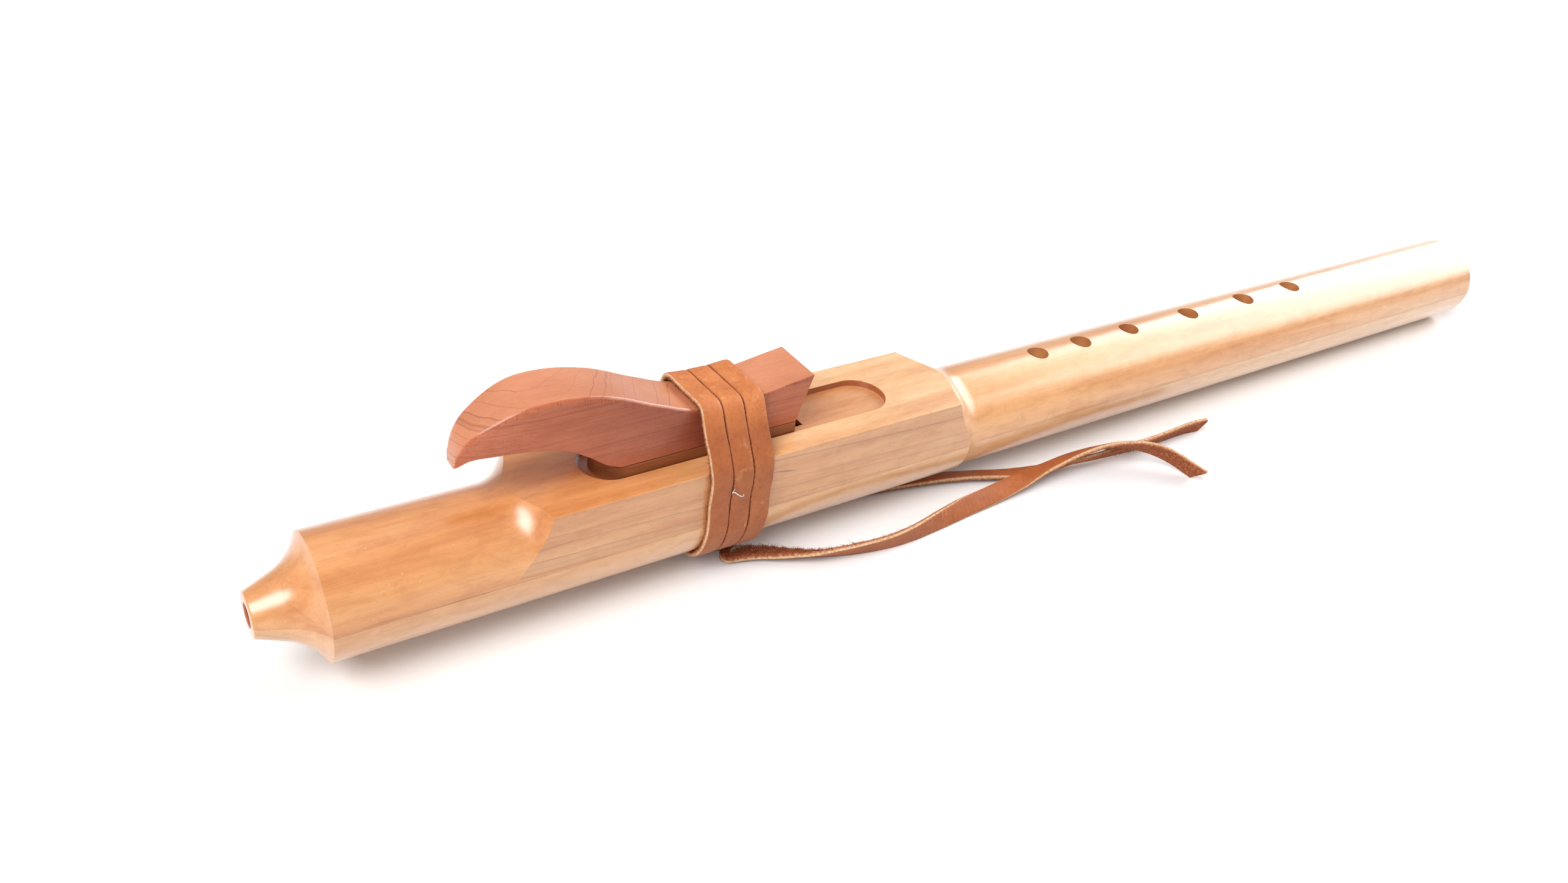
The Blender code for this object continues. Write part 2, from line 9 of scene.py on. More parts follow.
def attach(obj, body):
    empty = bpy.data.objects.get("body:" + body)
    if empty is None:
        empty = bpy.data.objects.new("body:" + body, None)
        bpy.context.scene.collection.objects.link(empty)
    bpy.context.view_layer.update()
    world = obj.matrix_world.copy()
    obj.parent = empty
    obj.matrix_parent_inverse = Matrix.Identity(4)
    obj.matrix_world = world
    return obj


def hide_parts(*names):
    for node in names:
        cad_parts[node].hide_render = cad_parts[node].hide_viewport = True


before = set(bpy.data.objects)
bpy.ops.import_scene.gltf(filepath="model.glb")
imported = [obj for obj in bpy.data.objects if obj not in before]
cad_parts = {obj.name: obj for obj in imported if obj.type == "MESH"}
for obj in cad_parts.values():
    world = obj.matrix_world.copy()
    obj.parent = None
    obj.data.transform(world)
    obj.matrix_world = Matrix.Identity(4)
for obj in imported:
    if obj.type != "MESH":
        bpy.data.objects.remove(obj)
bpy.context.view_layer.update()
bpy.ops.object.select_all(action="DESELECT")

# The camera stands high on the near side, left of the flute's mouth end, as in the photograph.
# Its place and turn were solved from the flute's own round and square sections.
scene = bpy.context.scene
camera_data = bpy.data.cameras.new("camera")
camera_data.sensor_width = 36.0
camera_data.lens = 28.88
camera_data.clip_start = 0.01
camera = bpy.data.objects.new("camera", camera_data)
scene.collection.objects.link(camera)
camera_right = Vector((0.83217, -0.54355, 0.10976))
camera_up = Vector((0.22875, 0.51681, 0.82497))
camera_back = -Vector((0.50514, 0.66141, -0.55442))
camera_turn = Matrix((camera_right, camera_up, camera_back)).transposed().to_4x4()
camera.matrix_world = Matrix.Translation((-0.28456, -0.24756, 0.23741)) @ camera_turn
scene.camera = camera

# The free tails are the two cut ends of one flat caramel leather lace, which leave the knot under the block.
# The grain side is smooth, the flesh side brown and fuzzy, and the cut edges between them are cream.
# They lie on what the flute lies on, which rises towards the foot as the part is set down here.
lace_width = 0.00635
lace_thickness = 0.0018
rest_slope = 0.01614
rest_start = -0.11735
near_tail = [
    (-0.1203, -0.0091, 0.0013, 4),
    (-0.1154, -0.0104, 0.0013, 8),
    (-0.1105, -0.0124, 0.0016, 12),
    (-0.1054, -0.0155, 0.0019, 19),
    (-0.1002, -0.0187, 0.0023, 28),
    (-0.0946, -0.0221, 0.0029, 41),
    (-0.0892, -0.0242, 0.0033, 53),
    (-0.0806, -0.0264, 0.0036, 63),
    (-0.0715, -0.0278, 0.0039, 72),
    (-0.0641, -0.0279, 0.0041, 82),
    (-0.0515, -0.0264, 0.0043, 103),
    (-0.0384, -0.0243, 0.0041, 128),
    (-0.0256, -0.0230, 0.0041, 148),
    (-0.0135, -0.0223, 0.0052, 171),
    (-0.0075, -0.0220, 0.0062, 186),
    (-0.0015, -0.0221, 0.0072, 201),
    (0.0126, -0.0231, 0.0097, 213),
    (0.0215, -0.0251, 0.0111, 221),
    (0.0294, -0.0282, 0.0116, 228),
    (0.0370, -0.0322, 0.0107, 238),
    (0.0436, -0.0380, 0.0082, 248),
    (0.0466, -0.0435, 0.0063, 254),
    (0.0475, -0.0465, 0.0058, 256),
]
far_tail = [
    (-0.1161, 0.0034, 0.0012, 180),
    (-0.1090, 0.0035, 0.0012, 180),
    (-0.1000, 0.0034, 0.0013, 180),
    (-0.0850, 0.0026, 0.0016, 180),
    (-0.0700, 0.0010, 0.0019, 182),
    (-0.0570, -0.0012, 0.0022, 186),
    (-0.0444, -0.0041, 0.0026, 190),
    (-0.0352, -0.0067, 0.0029, 194),
    (-0.0261, -0.0099, 0.0032, 198),
    (-0.0153, -0.0142, 0.0033, 196),
    (-0.0085, -0.0165, 0.0031, 189),
    (-0.0027, -0.0182, 0.0036, 194),
    (0.0076, -0.0212, 0.0056, 216),
    (0.0133, -0.0225, 0.0062, 225),
    (0.0286, -0.0241, 0.0066, 236),
    (0.0465, -0.0244, 0.0060, 240),
    (0.0601, -0.0240, 0.0059, 243),
    (0.0665, -0.0240, 0.0060, 245),
    (0.0733, -0.0249, 0.0062, 248),
]


def floor_height(x):
    """Height of what the flute lies on, at a place along it."""
    return rest_slope * (x - rest_start)


def new_material(name, roughness):
    """A node material with its shader and Object coordinates."""
    material = bpy.data.materials.new(name)
    material.use_nodes = True
    tree = material.node_tree
    shader = tree.nodes["Principled BSDF"]
    shader.inputs["Roughness"].default_value = roughness
    coordinates = tree.nodes.new("ShaderNodeTexCoord")
    return material, tree, shader, coordinates.outputs["Object"]


def stretched(tree, vector, scale, turn=(0, 0, 0), shift=(0, 0, 0)):
    """The coordinates stretched, turned and shifted for a pattern."""
    mapping = tree.nodes.new("ShaderNodeMapping")
    mapping.inputs["Scale"].default_value = scale
    mapping.inputs["Rotation"].default_value = turn
    mapping.inputs["Location"].default_value = shift
    tree.links.new(vector, mapping.inputs["Vector"])
    return mapping.outputs["Vector"]


def cloudy(tree, vector, scale, detail=4.0, roughness=0.55, distortion=0.0):
    """A noise pattern's value."""
    node = tree.nodes.new("ShaderNodeTexNoise")
    node.inputs["Scale"].default_value = scale
    node.inputs["Detail"].default_value = detail
    node.inputs["Roughness"].default_value = roughness
    node.inputs["Distortion"].default_value = distortion
    tree.links.new(vector, node.inputs["Vector"])
    return node.outputs["Fac"]


def ramp(tree, value, stops):
    """A colour ramp over a value."""
    node = tree.nodes.new("ShaderNodeValToRGB")
    points = node.color_ramp.elements
    while len(points) < len(stops):
        points.new(0.5)
    for point, (place, colour) in zip(points, stops):
        point.position = place
        point.color = (*colour, 1.0)
    tree.links.new(value, node.inputs["Fac"])
    return node.outputs["Color"]


def share_between(tree, value, low, high):
    """A value brought to 0 at its low end and 1 at its high end."""
    node = tree.nodes.new("ShaderNodeMapRange")
    node.inputs["From Min"].default_value = low
    node.inputs["From Max"].default_value = high
    tree.links.new(value, node.inputs["Value"])
    return node.outputs["Result"]


def mixed(tree, share, first, second, blend="MIX"):
    """Two colours mixed, or the second worked into the first with that blend."""
    node = tree.nodes.new("ShaderNodeMix")
    node.data_type = "RGBA"
    node.blend_type = blend
    for socket, given in ((node.inputs[0], share), (node.inputs[6], first), (node.inputs[7], second)):
        if isinstance(given, bpy.types.NodeSocket):
            tree.links.new(given, socket)
        elif isinstance(given, tuple):
            socket.default_value = (*given, 1.0)
        else:
            socket.default_value = given
    return node.outputs[2]


def sum_of(tree, operation, first, second):
    """Two values put together by a Math node's operation."""
    node = tree.nodes.new("ShaderNodeMath")
    node.operation = operation
    for socket, given in zip(node.inputs, (first, second)):
        if isinstance(given, bpy.types.NodeSocket):
            tree.links.new(given, socket)
        else:
            socket.default_value = given
    return node.outputs["Value"]


def bumped(tree, shader, height, strength, distance):
    """Gives the shader a bump from a height."""
    node = tree.nodes.new("ShaderNodeBump")
    node.inputs["Strength"].default_value = strength
    node.inputs["Distance"].default_value = distance
    tree.links.new(height, node.inputs["Height"])
    tree.links.new(node.outputs["Normal"], shader.inputs["Normal"])


def painted(tree, name):
    """The value of a painted attribute of the lace."""
    node = tree.nodes.new("ShaderNodeAttribute")
    node.attribute_name = name
    return node.outputs["Fac"]


leather, tree, shader, where = new_material("lace_leather", 0.55)
flesh_side = painted(tree, "flesh")
cut_edge = painted(tree, "cut")
mottle = cloudy(tree, where, 150.0, 5.0, 0.6)
grain_side = ramp(tree, mottle, [(0.3, (0.37, 0.094, 0.0225)), (0.52, (0.425, 0.116, 0.029)), (0.72, (0.48, 0.146, 0.04))])
creases = cloudy(tree, where, 900.0, 3.0, 0.7)
grain_side = mixed(tree, 0.35, grain_side, ramp(tree, creases, [(0.35, (0.6, 0.52, 0.45)), (0.5, (1, 1, 1))]), "MULTIPLY")
# Painted light: the tops of the wrap turns, marked by height in a painted attribute, are made much lighter for the
# light that falls on them from above.
painted_crest_light = mixed(tree, 1.0, grain_side, (1.42, 1.6, 1.75), "MULTIPLY")
grain_side = mixed(tree, painted(tree, "painted_crest_light"), grain_side, painted_crest_light)
# Paler patches come from a noise and from a painted attribute. That attribute holds real rubbed wear in a few spots,
# painted light on the crests of the wrap turns, and paler crests on the tails' wrinkles.
rubbed_and_lit = sum_of(tree, "ADD", cloudy(tree, where, 330.0, 5.0, 0.7), sum_of(tree, "MULTIPLY", painted(tree, "wear_and_light"), 0.4))
grain_side = mixed(tree, share_between(tree, rubbed_and_lit, 0.66, 1.1), grain_side, (0.78, 0.42, 0.2))
fuzz = cloudy(tree, where, 1300.0, 4.0, 0.75)
flesh_colour = ramp(tree, fuzz, [(0.32, (0.15, 0.033, 0.01)), (0.5, (0.34, 0.086, 0.028)), (0.68, (0.58, 0.22, 0.09))])
edge_colour = ramp(tree, fuzz, [(0.3, (0.42, 0.19, 0.085)), (0.46, (0.68, 0.42, 0.23)), (0.62, (0.84, 0.63, 0.41))])
colour = mixed(tree, flesh_side, grain_side, flesh_colour)
colour = mixed(tree, cut_edge, colour, edge_colour)
colour = mixed(tree, painted(tree, "thread"), colour, (0.86, 0.79, 0.68))
tree.links.new(colour, shader.inputs["Base Color"])
bare = sum_of(tree, "MAXIMUM", flesh_side, cut_edge)
tree.links.new(mixed(tree, bare, (0.55, 0.55, 0.55), (0.95, 0.95, 0.95)), shader.inputs["Roughness"])
relief = sum_of(tree, "ADD", sum_of(tree, "MULTIPLY", creases, 0.25), sum_of(tree, "MULTIPLY", fuzz, bare))
bumped(tree, shader, relief, 0.5, 0.0003)


def smooth_line(knots, spacing):
    """Points of a smooth line through the knots, each knot among them, about that far apart."""
    points = [Vector(knot) for knot in knots]
    ends = [2 * points[0] - points[1]] + points + [2 * points[-1] - points[-2]]
    line = []
    for before, start, end, after in zip(ends, ends[1:], ends[2:], ends[3:]):
        chord = (end - start).length
        leave = tangent_at(before, start, end) * chord
        arrive = tangent_at(start, end, after) * chord
        steps = max(1, round(chord / spacing))
        for i in range(steps):
            t = i / steps
            line.append(
                start * (2 * t**3 - 3 * t**2 + 1)
                + leave * (t**3 - 2 * t**2 + t)
                + end * (3 * t**2 - 2 * t**3)
                + arrive * (t**3 - t**2)
            )
    line.append(points[-1])
    return line


def tangent_at(before, point, after):
    """Direction of a smooth line at a knot, weighted by how near its neighbours are."""
    back = point - before
    ahead = after - point
    return (back * ahead.length / back.length + ahead * back.length / ahead.length) / (back + ahead).length


def lace_section(unshaded_a=1.0, unshaded_b=1.0):
    """Points round the flat lace: across (1 is edge A), through (1 is the grain side), flesh and cut shares.
    The two numbers after them say how much of each cut edge, A and B, shows its cream; at 0 the edge is painted in the
    dark flesh colour, as painted shade."""
    across = [0.93 - 0.93 * i / 5 for i in range(11)]
    rows = [(u, 1.0 - 0.22 * abs(u) ** 5, 0.0, 0.0) for u in across]
    rows += edge_points(-1.0, unshaded_b)
    rows += [(-u, -1.0, 1.0, 0.0) for u in across]
    rows += edge_points(1.0, unshaded_a)[::-1]
    return rows


def edge_points(side, unshaded):
    """The four points down one cut edge of the lace, from the grain side to the flesh side."""
    return [
        (0.985 * side, 0.66, 0.9 * (1 - unshaded), 0.8 * unshaded),
        (side, 0.2, 1 - unshaded, unshaded),
        (side, -0.4, 1 - 0.2 * unshaded, 0.2 * unshaded),
        (0.985 * side, -0.85, 1.0, 0.0),
    ]


def paint(mesh, name, values):
    """Writes one value a point into a named attribute."""
    attribute = mesh.attributes.new(name, "FLOAT", "POINT")
    attribute.data.foreach_set("value", values)


def lace_mesh(name, rings, shares, closed):
    """A skin over rings of points, with caps on open ends, and the lace's painted shares."""
    mesh_data = bmesh.new()
    loops = [[mesh_data.verts.new(point) for point in ring] for ring in rings]
    count = len(loops[0])
    pairs = list(zip(loops, loops[1:])) + ([(loops[-1], loops[0])] if closed else [])
    for loop, following in pairs:
        for i in range(count):
            j = (i + 1) % count
            mesh_data.faces.new((loop[i], loop[j], following[j], following[i]))
    flesh = [share[2] for share in shares] * len(rings)
    cut = [share[3] for share in shares] * len(rings)
    if not closed:
        for loop in (loops[0], loops[-1]):
            middle = sum((vertex.co for vertex in loop), Vector()) / count
            hub = mesh_data.verts.new(middle)
            flesh.append(0.4)
            cut.append(max(share[3] for share in shares))
            for i in range(count):
                mesh_data.faces.new((loop[i], loop[(i + 1) % count], hub))
    bmesh.ops.recalc_face_normals(mesh_data, faces=mesh_data.faces)
    mesh = bpy.data.meshes.new(name)
    mesh_data.to_mesh(mesh)
    mesh_data.free()
    paint(mesh, "flesh", flesh)
    paint(mesh, "cut", cut)
    mesh.materials.append(leather)
    mesh.shade_smooth()
    mesh.set_sharp_from_angle(angle=math.radians(70))
    piece = bpy.data.objects.new(name, mesh)
    scene.collection.objects.link(piece)
    return piece


tail_step = 0.0006
end_slant = 0.0022
slant_reach = 0.008
fold_length = 0.0026


def tail_frames(route):
    """For each ring of a tail: centre, direction, way to edge A, way out of the grain side, run so far."""
    line = smooth_line([point[:3] for point in route], tail_step)
    knots = [min(range(len(line)), key=lambda i: (line[i] - Vector(point[:3])).length) for point in route]
    frames = []
    run = 0.0
    for i, centre in enumerate(line):
        along = (line[min(i + 1, len(line) - 1)] - line[max(i - 1, 0)]).normalized()
        spot = next(k for k in range(len(knots) - 1) if i <= knots[k + 1])
        share = (i - knots[spot]) / (knots[spot + 1] - knots[spot])
        roll = math.radians(route[spot][3] + (route[spot + 1][3] - route[spot][3]) * share)
        side = Vector((0, 0, 1)).cross(along).normalized()
        up = along.cross(side)
        run += (centre - line[i - 1]).length if i else 0.0
        to_edge = -side * math.cos(roll) + up * math.sin(roll)
        to_grain = -side * math.sin(roll) - up * math.cos(roll)
        frames.append((centre, along, to_edge, to_grain, run))
    return frames


def make_tail(name, node, route, slant, wrinkled, shaggy):
    """One free tail: ragged flesh side, fine cross wrinkles where it bends, and a slanting cut at its end."""
    shares = lace_section()
    frames = tail_frames(route)
    length = frames[-1][4]
    rings = []
    rubbed_and_lit = []
    for centre, along, to_edge, to_grain, run in frames:
        half = lace_width / 2 * (0.985 + 0.02 * wander.noise(Vector((run * 90, 1.3, 0))))
        thick = lace_thickness / 2 * (0.93 + 0.05 * wander.noise(Vector((run * 150, 7.7, 0))))
        near_end = max(0.0, 1 - (length - run) / slant_reach)
        bend = sum(math.exp(-(((run - middle) / reach) ** 2)) for middle, reach in wrinkled)
        fold = min(1.0, (run + 0.0002) / fold_length)
        half *= math.sqrt(1 - (1 - fold) ** 2)
        ring = []
        for across, through, flesh, cut in shares:
            rough = 0.00009 + 0.00045 * flesh * shaggy * min(1.0, max(0.0, (0.064 - run) / 0.02))
            ragged = wander.noise(Vector((run * 1400, across * 6, 3.1))) * rough * (flesh + 0.6 * cut)
            waves = math.sin(run * 3400 + 1.5 * wander.noise(Vector((run * 260, across * 0.9, 9.0))))
            crease = 0.00007 * bend * waves if through > 0.5 else 0.0
            # The crests of the wrinkles are also painted paler.
            rubbed_and_lit.append(max(0.0, bend * waves) * 0.4)
            point = centre + to_edge * across * (half + ragged) + to_grain * (through * thick + ragged + crease)
            point -= along * across * slant * near_end
            point.z = max(point.z, floor_height(point.x))
            ring.append(point)
        rings.append(ring)
    tail = lace_mesh(name, rings, shares, closed=False)
    paint(tail.data, "wear_and_light", rubbed_and_lit + [0.0, 0.0])
    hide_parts(node)
    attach(tail, "tied_block")
    return tail, frames


def add_strand(mesh_data, spots, widths, across, through):
    """One thin tapering fibre along spots, three-sided, with closed ends."""
    rings = [
        [mesh_data.verts.new(spot + (across * math.cos(a) + through * math.sin(a)) * width) for a in (0.0, 2.1, 4.2)]
        for spot, width in zip(spots, widths)
    ]
    for ring, following in zip(rings, rings[1:]):
        for i in range(3):
            mesh_data.faces.new((ring[i], ring[(i + 1) % 3], following[(i + 1) % 3], following[i]))
    mesh_data.faces.new(rings[0])
    mesh_data.faces.new(rings[-1])


def fibre_piece(name, mesh_data, share):
    """Makes a piece of fibres, painted as the lace's flesh or cut share."""
    bmesh.ops.recalc_face_normals(mesh_data, faces=mesh_data.faces)
    mesh = bpy.data.meshes.new(name)
    mesh_data.to_mesh(mesh)
    mesh_data.free()
    paint(mesh, share, [1.0] * len(mesh.vertices))
    mesh.materials.append(leather)
    mesh.shade_smooth()
    piece = bpy.data.objects.new(name, mesh)
    scene.collection.objects.link(piece)
    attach(piece, "tied_block")
    return piece


def make_fibres(name, seed, count, roots, longest, share="flesh"):
    """Loose fibres in tufts: thin bent spikes on given spots, each (place, way out, way along)."""
    luck = random.Random(seed)
    mesh_data = bmesh.new()
    for _ in range(count):
        place, out, along = luck.choice(roots)
        tuft = min(1.0, max(0.0, 0.5 + 1.6 * wander.noise(place * 620)))
        side = out.cross(along).normalized()
        lean = along * luck.uniform(-2.0, 2.0) + side * luck.uniform(-1.4, 1.4)
        reach = luck.uniform(0.2, 0.35 + 0.5 * tuft) * longest * (2.1 if luck.random() > 0.985 else 1.0)
        width = luck.uniform(0.00006, 0.00015)
        curl = Vector([luck.uniform(-1, 1) for _ in range(3)]) * 0.9
        spots = []
        for step in range(4):
            t = step / 3
            spot = place - out * 0.0001 + (out + lean * t + curl * t * t) * reach * t
            spot.z = max(spot.z, floor_height(spot.x) + width)
            spots.append(spot)
        add_strand(mesh_data, spots, [width, width * 0.8, width * 0.5, width * 0.2], along, side)
    return fibre_piece(name, mesh_data, share)


def tail_fibre_roots(frames, start, end, edge):
    """Spots along one edge of a tail's flesh side, between two runs, where fibres stand out."""
    roots = []
    for centre, along, to_edge, to_grain, run in frames:
        if start <= run <= end:
            for inward in (1.0, 1.0, 0.92, 0.8, 0.6, 0.3, 0.0, -0.3, -0.6):
                place = centre + to_edge * edge * inward * lace_width / 2 - to_grain * lace_thickness * 0.45
                roots.append((place, (to_edge * edge * 0.6 - to_grain).normalized(), along))
    return roots


tails = (
    ("free_tail_near", "lace_tail_near", near_tail, end_slant, [(0.078, 0.022)], [(0.001, 0.064, -1.0, 9000)]),
    ("free_tail_far", "lace_tail_far", far_tail, 0.0006, [], [(0.15, 0.19, 1.0, 90)]),
)
for name, node, route, slant, wrinkled, ragged in tails:
    tail, frames = make_tail(name, node, route, slant, wrinkled, float(len(wrinkled)))
    fibres = []
    for start, end, edge, count in ragged:
        roots = tail_fibre_roots(frames, start, end, edge)
        fibres.append(make_fibres(name.replace("free_", "") + "_fibres", 11, count, roots, 0.0009))

# The body is one stick of light hardwood, sawn in two, hollowed and glued again, then turned and planed:
# nozzle, round slow air chamber, square block with the nest on top, and round sound chamber with six holes.
# It is rubbed smooth and lacquered. The upper half is warmer in tone, and the glue line shows.
axis_height = 0.022
mouth_end = -0.249
body_radius = 0.017
chamber_radius = 0.0161
block_top = 0.0178
glue_line = 0.00007
tip_radius = 0.0062
bore_radius = 0.011
nest_floor = 0.0158
nest_front = 0.0865
nest_rear = 0.1876
nest_half_width = 0.0089
flue_half_width = 0.0043
finger_holes = [
    (0.2545, 0.00365),
    (0.2746, 0.0037),
    (0.2983, 0.00355),
    (0.3295, 0.0038),
    (0.3605, 0.00395),
    (0.3882, 0.0038),
]


def turned(name, stations, sides):
    """A solid turned round the flute's axis: a disc drawn out and resized from station to station.
    A station is a place from the mouth end and a radius."""
    place, radius = stations[0]
    bpy.ops.mesh.primitive_circle_add(
        vertices=sides,
        radius=radius,
        fill_type="NGON",
        location=(mouth_end + place, 0, axis_height),
        rotation=(0, math.pi / 2, 0),
    )
    piece = bpy.context.object
    piece.name = name
    bpy.ops.object.transform_apply(location=True, rotation=True, scale=True)
    bpy.ops.object.mode_set(mode="EDIT")
    bpy.ops.mesh.select_all(action="SELECT")
    for following, wide in stations[1:]:
        bpy.ops.mesh.extrude_region_move(TRANSFORM_OT_translate={"value": (following - place, 0, 0)})
        grow = wide / radius
        centre = (mouth_end + following, 0, axis_height)
        bpy.ops.transform.resize(value=(1, grow, grow), center_override=centre)
        place, radius = following, wide
    bpy.ops.mesh.select_all(action="SELECT")
    bpy.ops.mesh.normals_make_consistent(inside=False)
    bpy.ops.object.mode_set(mode="OBJECT")
    return piece


def block_of(name, front, rear, half_width, low, high):
    """A plain bar between two places along the flute, with heights counted from its axis."""
    middle = (mouth_end + (front + rear) / 2, 0, axis_height + (low + high) / 2)
    bpy.ops.mesh.primitive_cube_add(size=1, location=middle, scale=(rear - front, 2 * half_width, high - low))
    piece = bpy.context.object
    piece.name = name
    bpy.ops.object.transform_apply(location=True, rotation=True, scale=True)
    return piece


def pick(piece, test):
    """In edit mode, selects only the edges that pass a test."""
    bpy.ops.mesh.select_mode(type="EDGE")
    bpy.ops.mesh.select_all(action="DESELECT")
    mesh_data = bmesh.from_edit_mesh(piece.data)
    for edge in mesh_data.edges:
        edge.select_set(bool(test(edge)))
    bmesh.update_edit_mesh(piece.data)


def round_edges(piece, test, width, segments):
    """Rounds the edges that pass a test."""
    bpy.context.view_layer.objects.active = piece
    bpy.ops.object.mode_set(mode="EDIT")
    pick(piece, test)
    bpy.ops.mesh.bevel(offset=width, segments=segments, affect="EDGES", clamp_overlap=True)
    bpy.ops.object.mode_set(mode="OBJECT")


def carve(piece, tool, operation="DIFFERENCE"):
    """Works a tool's volume into a piece, and takes the tool away."""
    modifier = piece.modifiers.new(tool.name, "BOOLEAN")
    modifier.operation = operation
    modifier.solver = "EXACT"
    modifier.object = tool
    bpy.ops.object.select_all(action="DESELECT")
    bpy.context.view_layer.objects.active = piece
    piece.select_set(True)
    bpy.ops.object.modifier_apply(modifier=modifier.name)
    bpy.data.objects.remove(tool, do_unlink=True)


def along_flute(edge):
    """Whether an edge runs along the flute."""
    run = edge.verts[1].co - edge.verts[0].co
    return abs(run.x) > 0.99 * run.length


def corner_angle(edge):
    """Angle between an edge's two faces."""
    return edge.calc_face_angle(0.0) if len(edge.link_faces) == 2 else 0.0


def finished(piece, material, body, slot, *nodes, smooth=35):
    """Shades a piece smoothly, gives it its material and body, and hides the CAD nodes that it stands for."""
    bpy.ops.object.select_all(action="DESELECT")
    bpy.context.view_layer.objects.active = piece
    piece.select_set(True)
    bpy.ops.object.shade_smooth_by_angle(angle=math.radians(smooth))
    modifier = piece.modifiers.new("even_shading", "WEIGHTED_NORMAL")
    modifier.keep_sharp = True
    bpy.ops.object.modifier_apply(modifier=modifier.name)
    bpy.ops.object.select_all(action="DESELECT")
    piece.data.materials.clear()
    piece.data.materials.append(material)
    if nodes:
        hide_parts(*nodes)
    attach(piece, body)


def arc(centre, radius, start, end, steps):
    """(place, radius) points on an arc, from one angle in degrees to another."""
    angles = [math.radians(start + (end - start) * i / steps) for i in range(steps + 1)]
    return [(centre[0] + radius * math.cos(a), centre[1] + radius * math.sin(a)) for a in angles]


tip_edge = arc((0.0007, tip_radius - 0.0007), 0.0007, 180, 90, 4)
nozzle_cove = arc((0.00149, 0.02264), 0.015, -70.5, -22.1, 16)
mouth_cove = [
    (0.0615 + 0.0108 * math.sin(math.radians(turn)), body_radius + 0.0108 * (1 - math.cos(math.radians(turn))))
    for turn in range(0, 76, 5)
]
foot_cove = [
    (0.2186 - 0.013 * math.sin(math.radians(turn)), chamber_radius + 0.013 * (1 - math.cos(math.radians(turn))))
    for turn in range(72, -1, -6)
]
between_holes = [0.2495, 0.2645, 0.2865, 0.314, 0.345, 0.3745, 0.394]
foot_edge = arc((0.4973, chamber_radius - 0.0007), 0.0007, 90, 0, 4)
outside = tip_edge + nozzle_cove + mouth_cove + foot_cove
outside += [(place, chamber_radius) for place in between_holes] + foot_edge
body = turned("body_blank", outside, 128)

block = turned("block_bar", [(-0.01, body_radius), (0.51, body_radius)], 128)
bpy.context.view_layer.objects.active = block
bpy.ops.object.mode_set(mode="EDIT")
bpy.ops.mesh.select_all(action="SELECT")
bpy.ops.mesh.bisect(plane_co=(0, 0, axis_height), plane_no=(0, 0, 1), use_fill=True, clear_outer=True)
bpy.ops.mesh.select_mode(type="FACE")
bpy.ops.mesh.select_all(action="DESELECT")
mesh_data = bmesh.from_edit_mesh(block.data)
for face in mesh_data.faces:
    face.select_set(face.normal.z > 0.99)
bmesh.update_edit_mesh(block.data)
bpy.ops.mesh.extrude_region_move(TRANSFORM_OT_translate={"value": (0, 0, block_top)})
pick(block, lambda edge: along_flute(edge) and edge.verts[0].co.z > axis_height + block_top - 1e-4)
bpy.ops.mesh.bevel(offset=0.0004, segments=3, affect="EDGES")
bpy.ops.mesh.select_all(action="SELECT")
bpy.ops.mesh.normals_make_consistent(inside=False)
bpy.ops.object.mode_set(mode="OBJECT")
carve(body, block, "INTERSECT")

blow_hole = turned("blow_hole", [(-0.002, 0.0034), (0.0, 0.0034), (0.0004, 0.0031), (0.03, 0.0031)], 32)
air_chamber = turned("air_chamber", arc((0.0285, 0.0055), 0.0055, 178, 90, 8) + [(0.103, bore_radius)], 64)
sound_bore = turned("sound_bore", arc((0.155, 0.0055), 0.0055, 178, 90, 8) + [(0.4972, 0.011), (0.4981, 0.0117), (0.5, 0.0117)], 64)
nest = block_of("nest", nest_front, nest_rear, nest_half_width, nest_floor, block_top + 0.002)
round_edges(nest, lambda edge: abs(edge.verts[0].co.z - edge.verts[1].co.z) > 0.003, nest_half_width - 0.00001, 20)
exit_hole = block_of("exit_hole", 0.0965, 0.103, flue_half_width, 0.003, nest_floor + 0.001)
sound_hole = block_of("sound_hole", 0.1502, 0.1562, flue_half_width, 0.003, nest_floor + 0.001)
for tool in (blow_hole, air_chamber, sound_bore, nest, exit_hole, sound_hole):
    carve(body, tool)

# The slope behind the sound hole leaves the thin edge that splits the air.
ramp_tool = block_of("splitting_ramp", 0.1535, 0.1632, flue_half_width - 0.0003, 0.0055, 0.0146)
bpy.context.view_layer.objects.active = ramp_tool
bpy.ops.object.mode_set(mode="EDIT")
pick(ramp_tool, lambda edge: all(vertex.co.x > mouth_end + 0.16 and vertex.co.z > axis_height + 0.01 for vertex in edge.verts))
bpy.ops.transform.translate(value=(-0.007, 0, 0))
bpy.ops.object.mode_set(mode="OBJECT")
carve(body, ramp_tool)
for place, radius in finger_holes:
    bpy.ops.mesh.primitive_cylinder_add(
        vertices=40, radius=radius, depth=0.014, location=(mouth_end + place, 0, axis_height + 0.0125)
    )
    drill = bpy.context.object
    drill.name = "drill"
    bpy.ops.object.transform_apply(location=True, rotation=True, scale=True)
    carve(body, drill)


def outer_rim(edge):
    """Whether an edge is a rim that sanding has softened: coves, nest and finger holes."""
    middle = (edge.verts[0].co + edge.verts[1].co) / 2
    place = middle.x - mouth_end
    if corner_angle(edge) < math.radians(28) or not 0.06 < place < 0.4:
        return False
    height = middle.z - axis_height
    from_axis = math.hypot(middle.y, height)
    if place < 0.22:
        return from_axis > body_radius - 0.0001 and height > -0.001
    return height > 0.0135 and from_axis > chamber_radius - 0.0002


bpy.context.view_layer.objects.active = body
bpy.ops.object.mode_set(mode="EDIT")
bpy.ops.mesh.select_all(action="SELECT")
bpy.ops.mesh.remove_doubles(threshold=0.00004)
bpy.ops.object.mode_set(mode="OBJECT")
round_edges(body, outer_rim, 0.00025, 2)


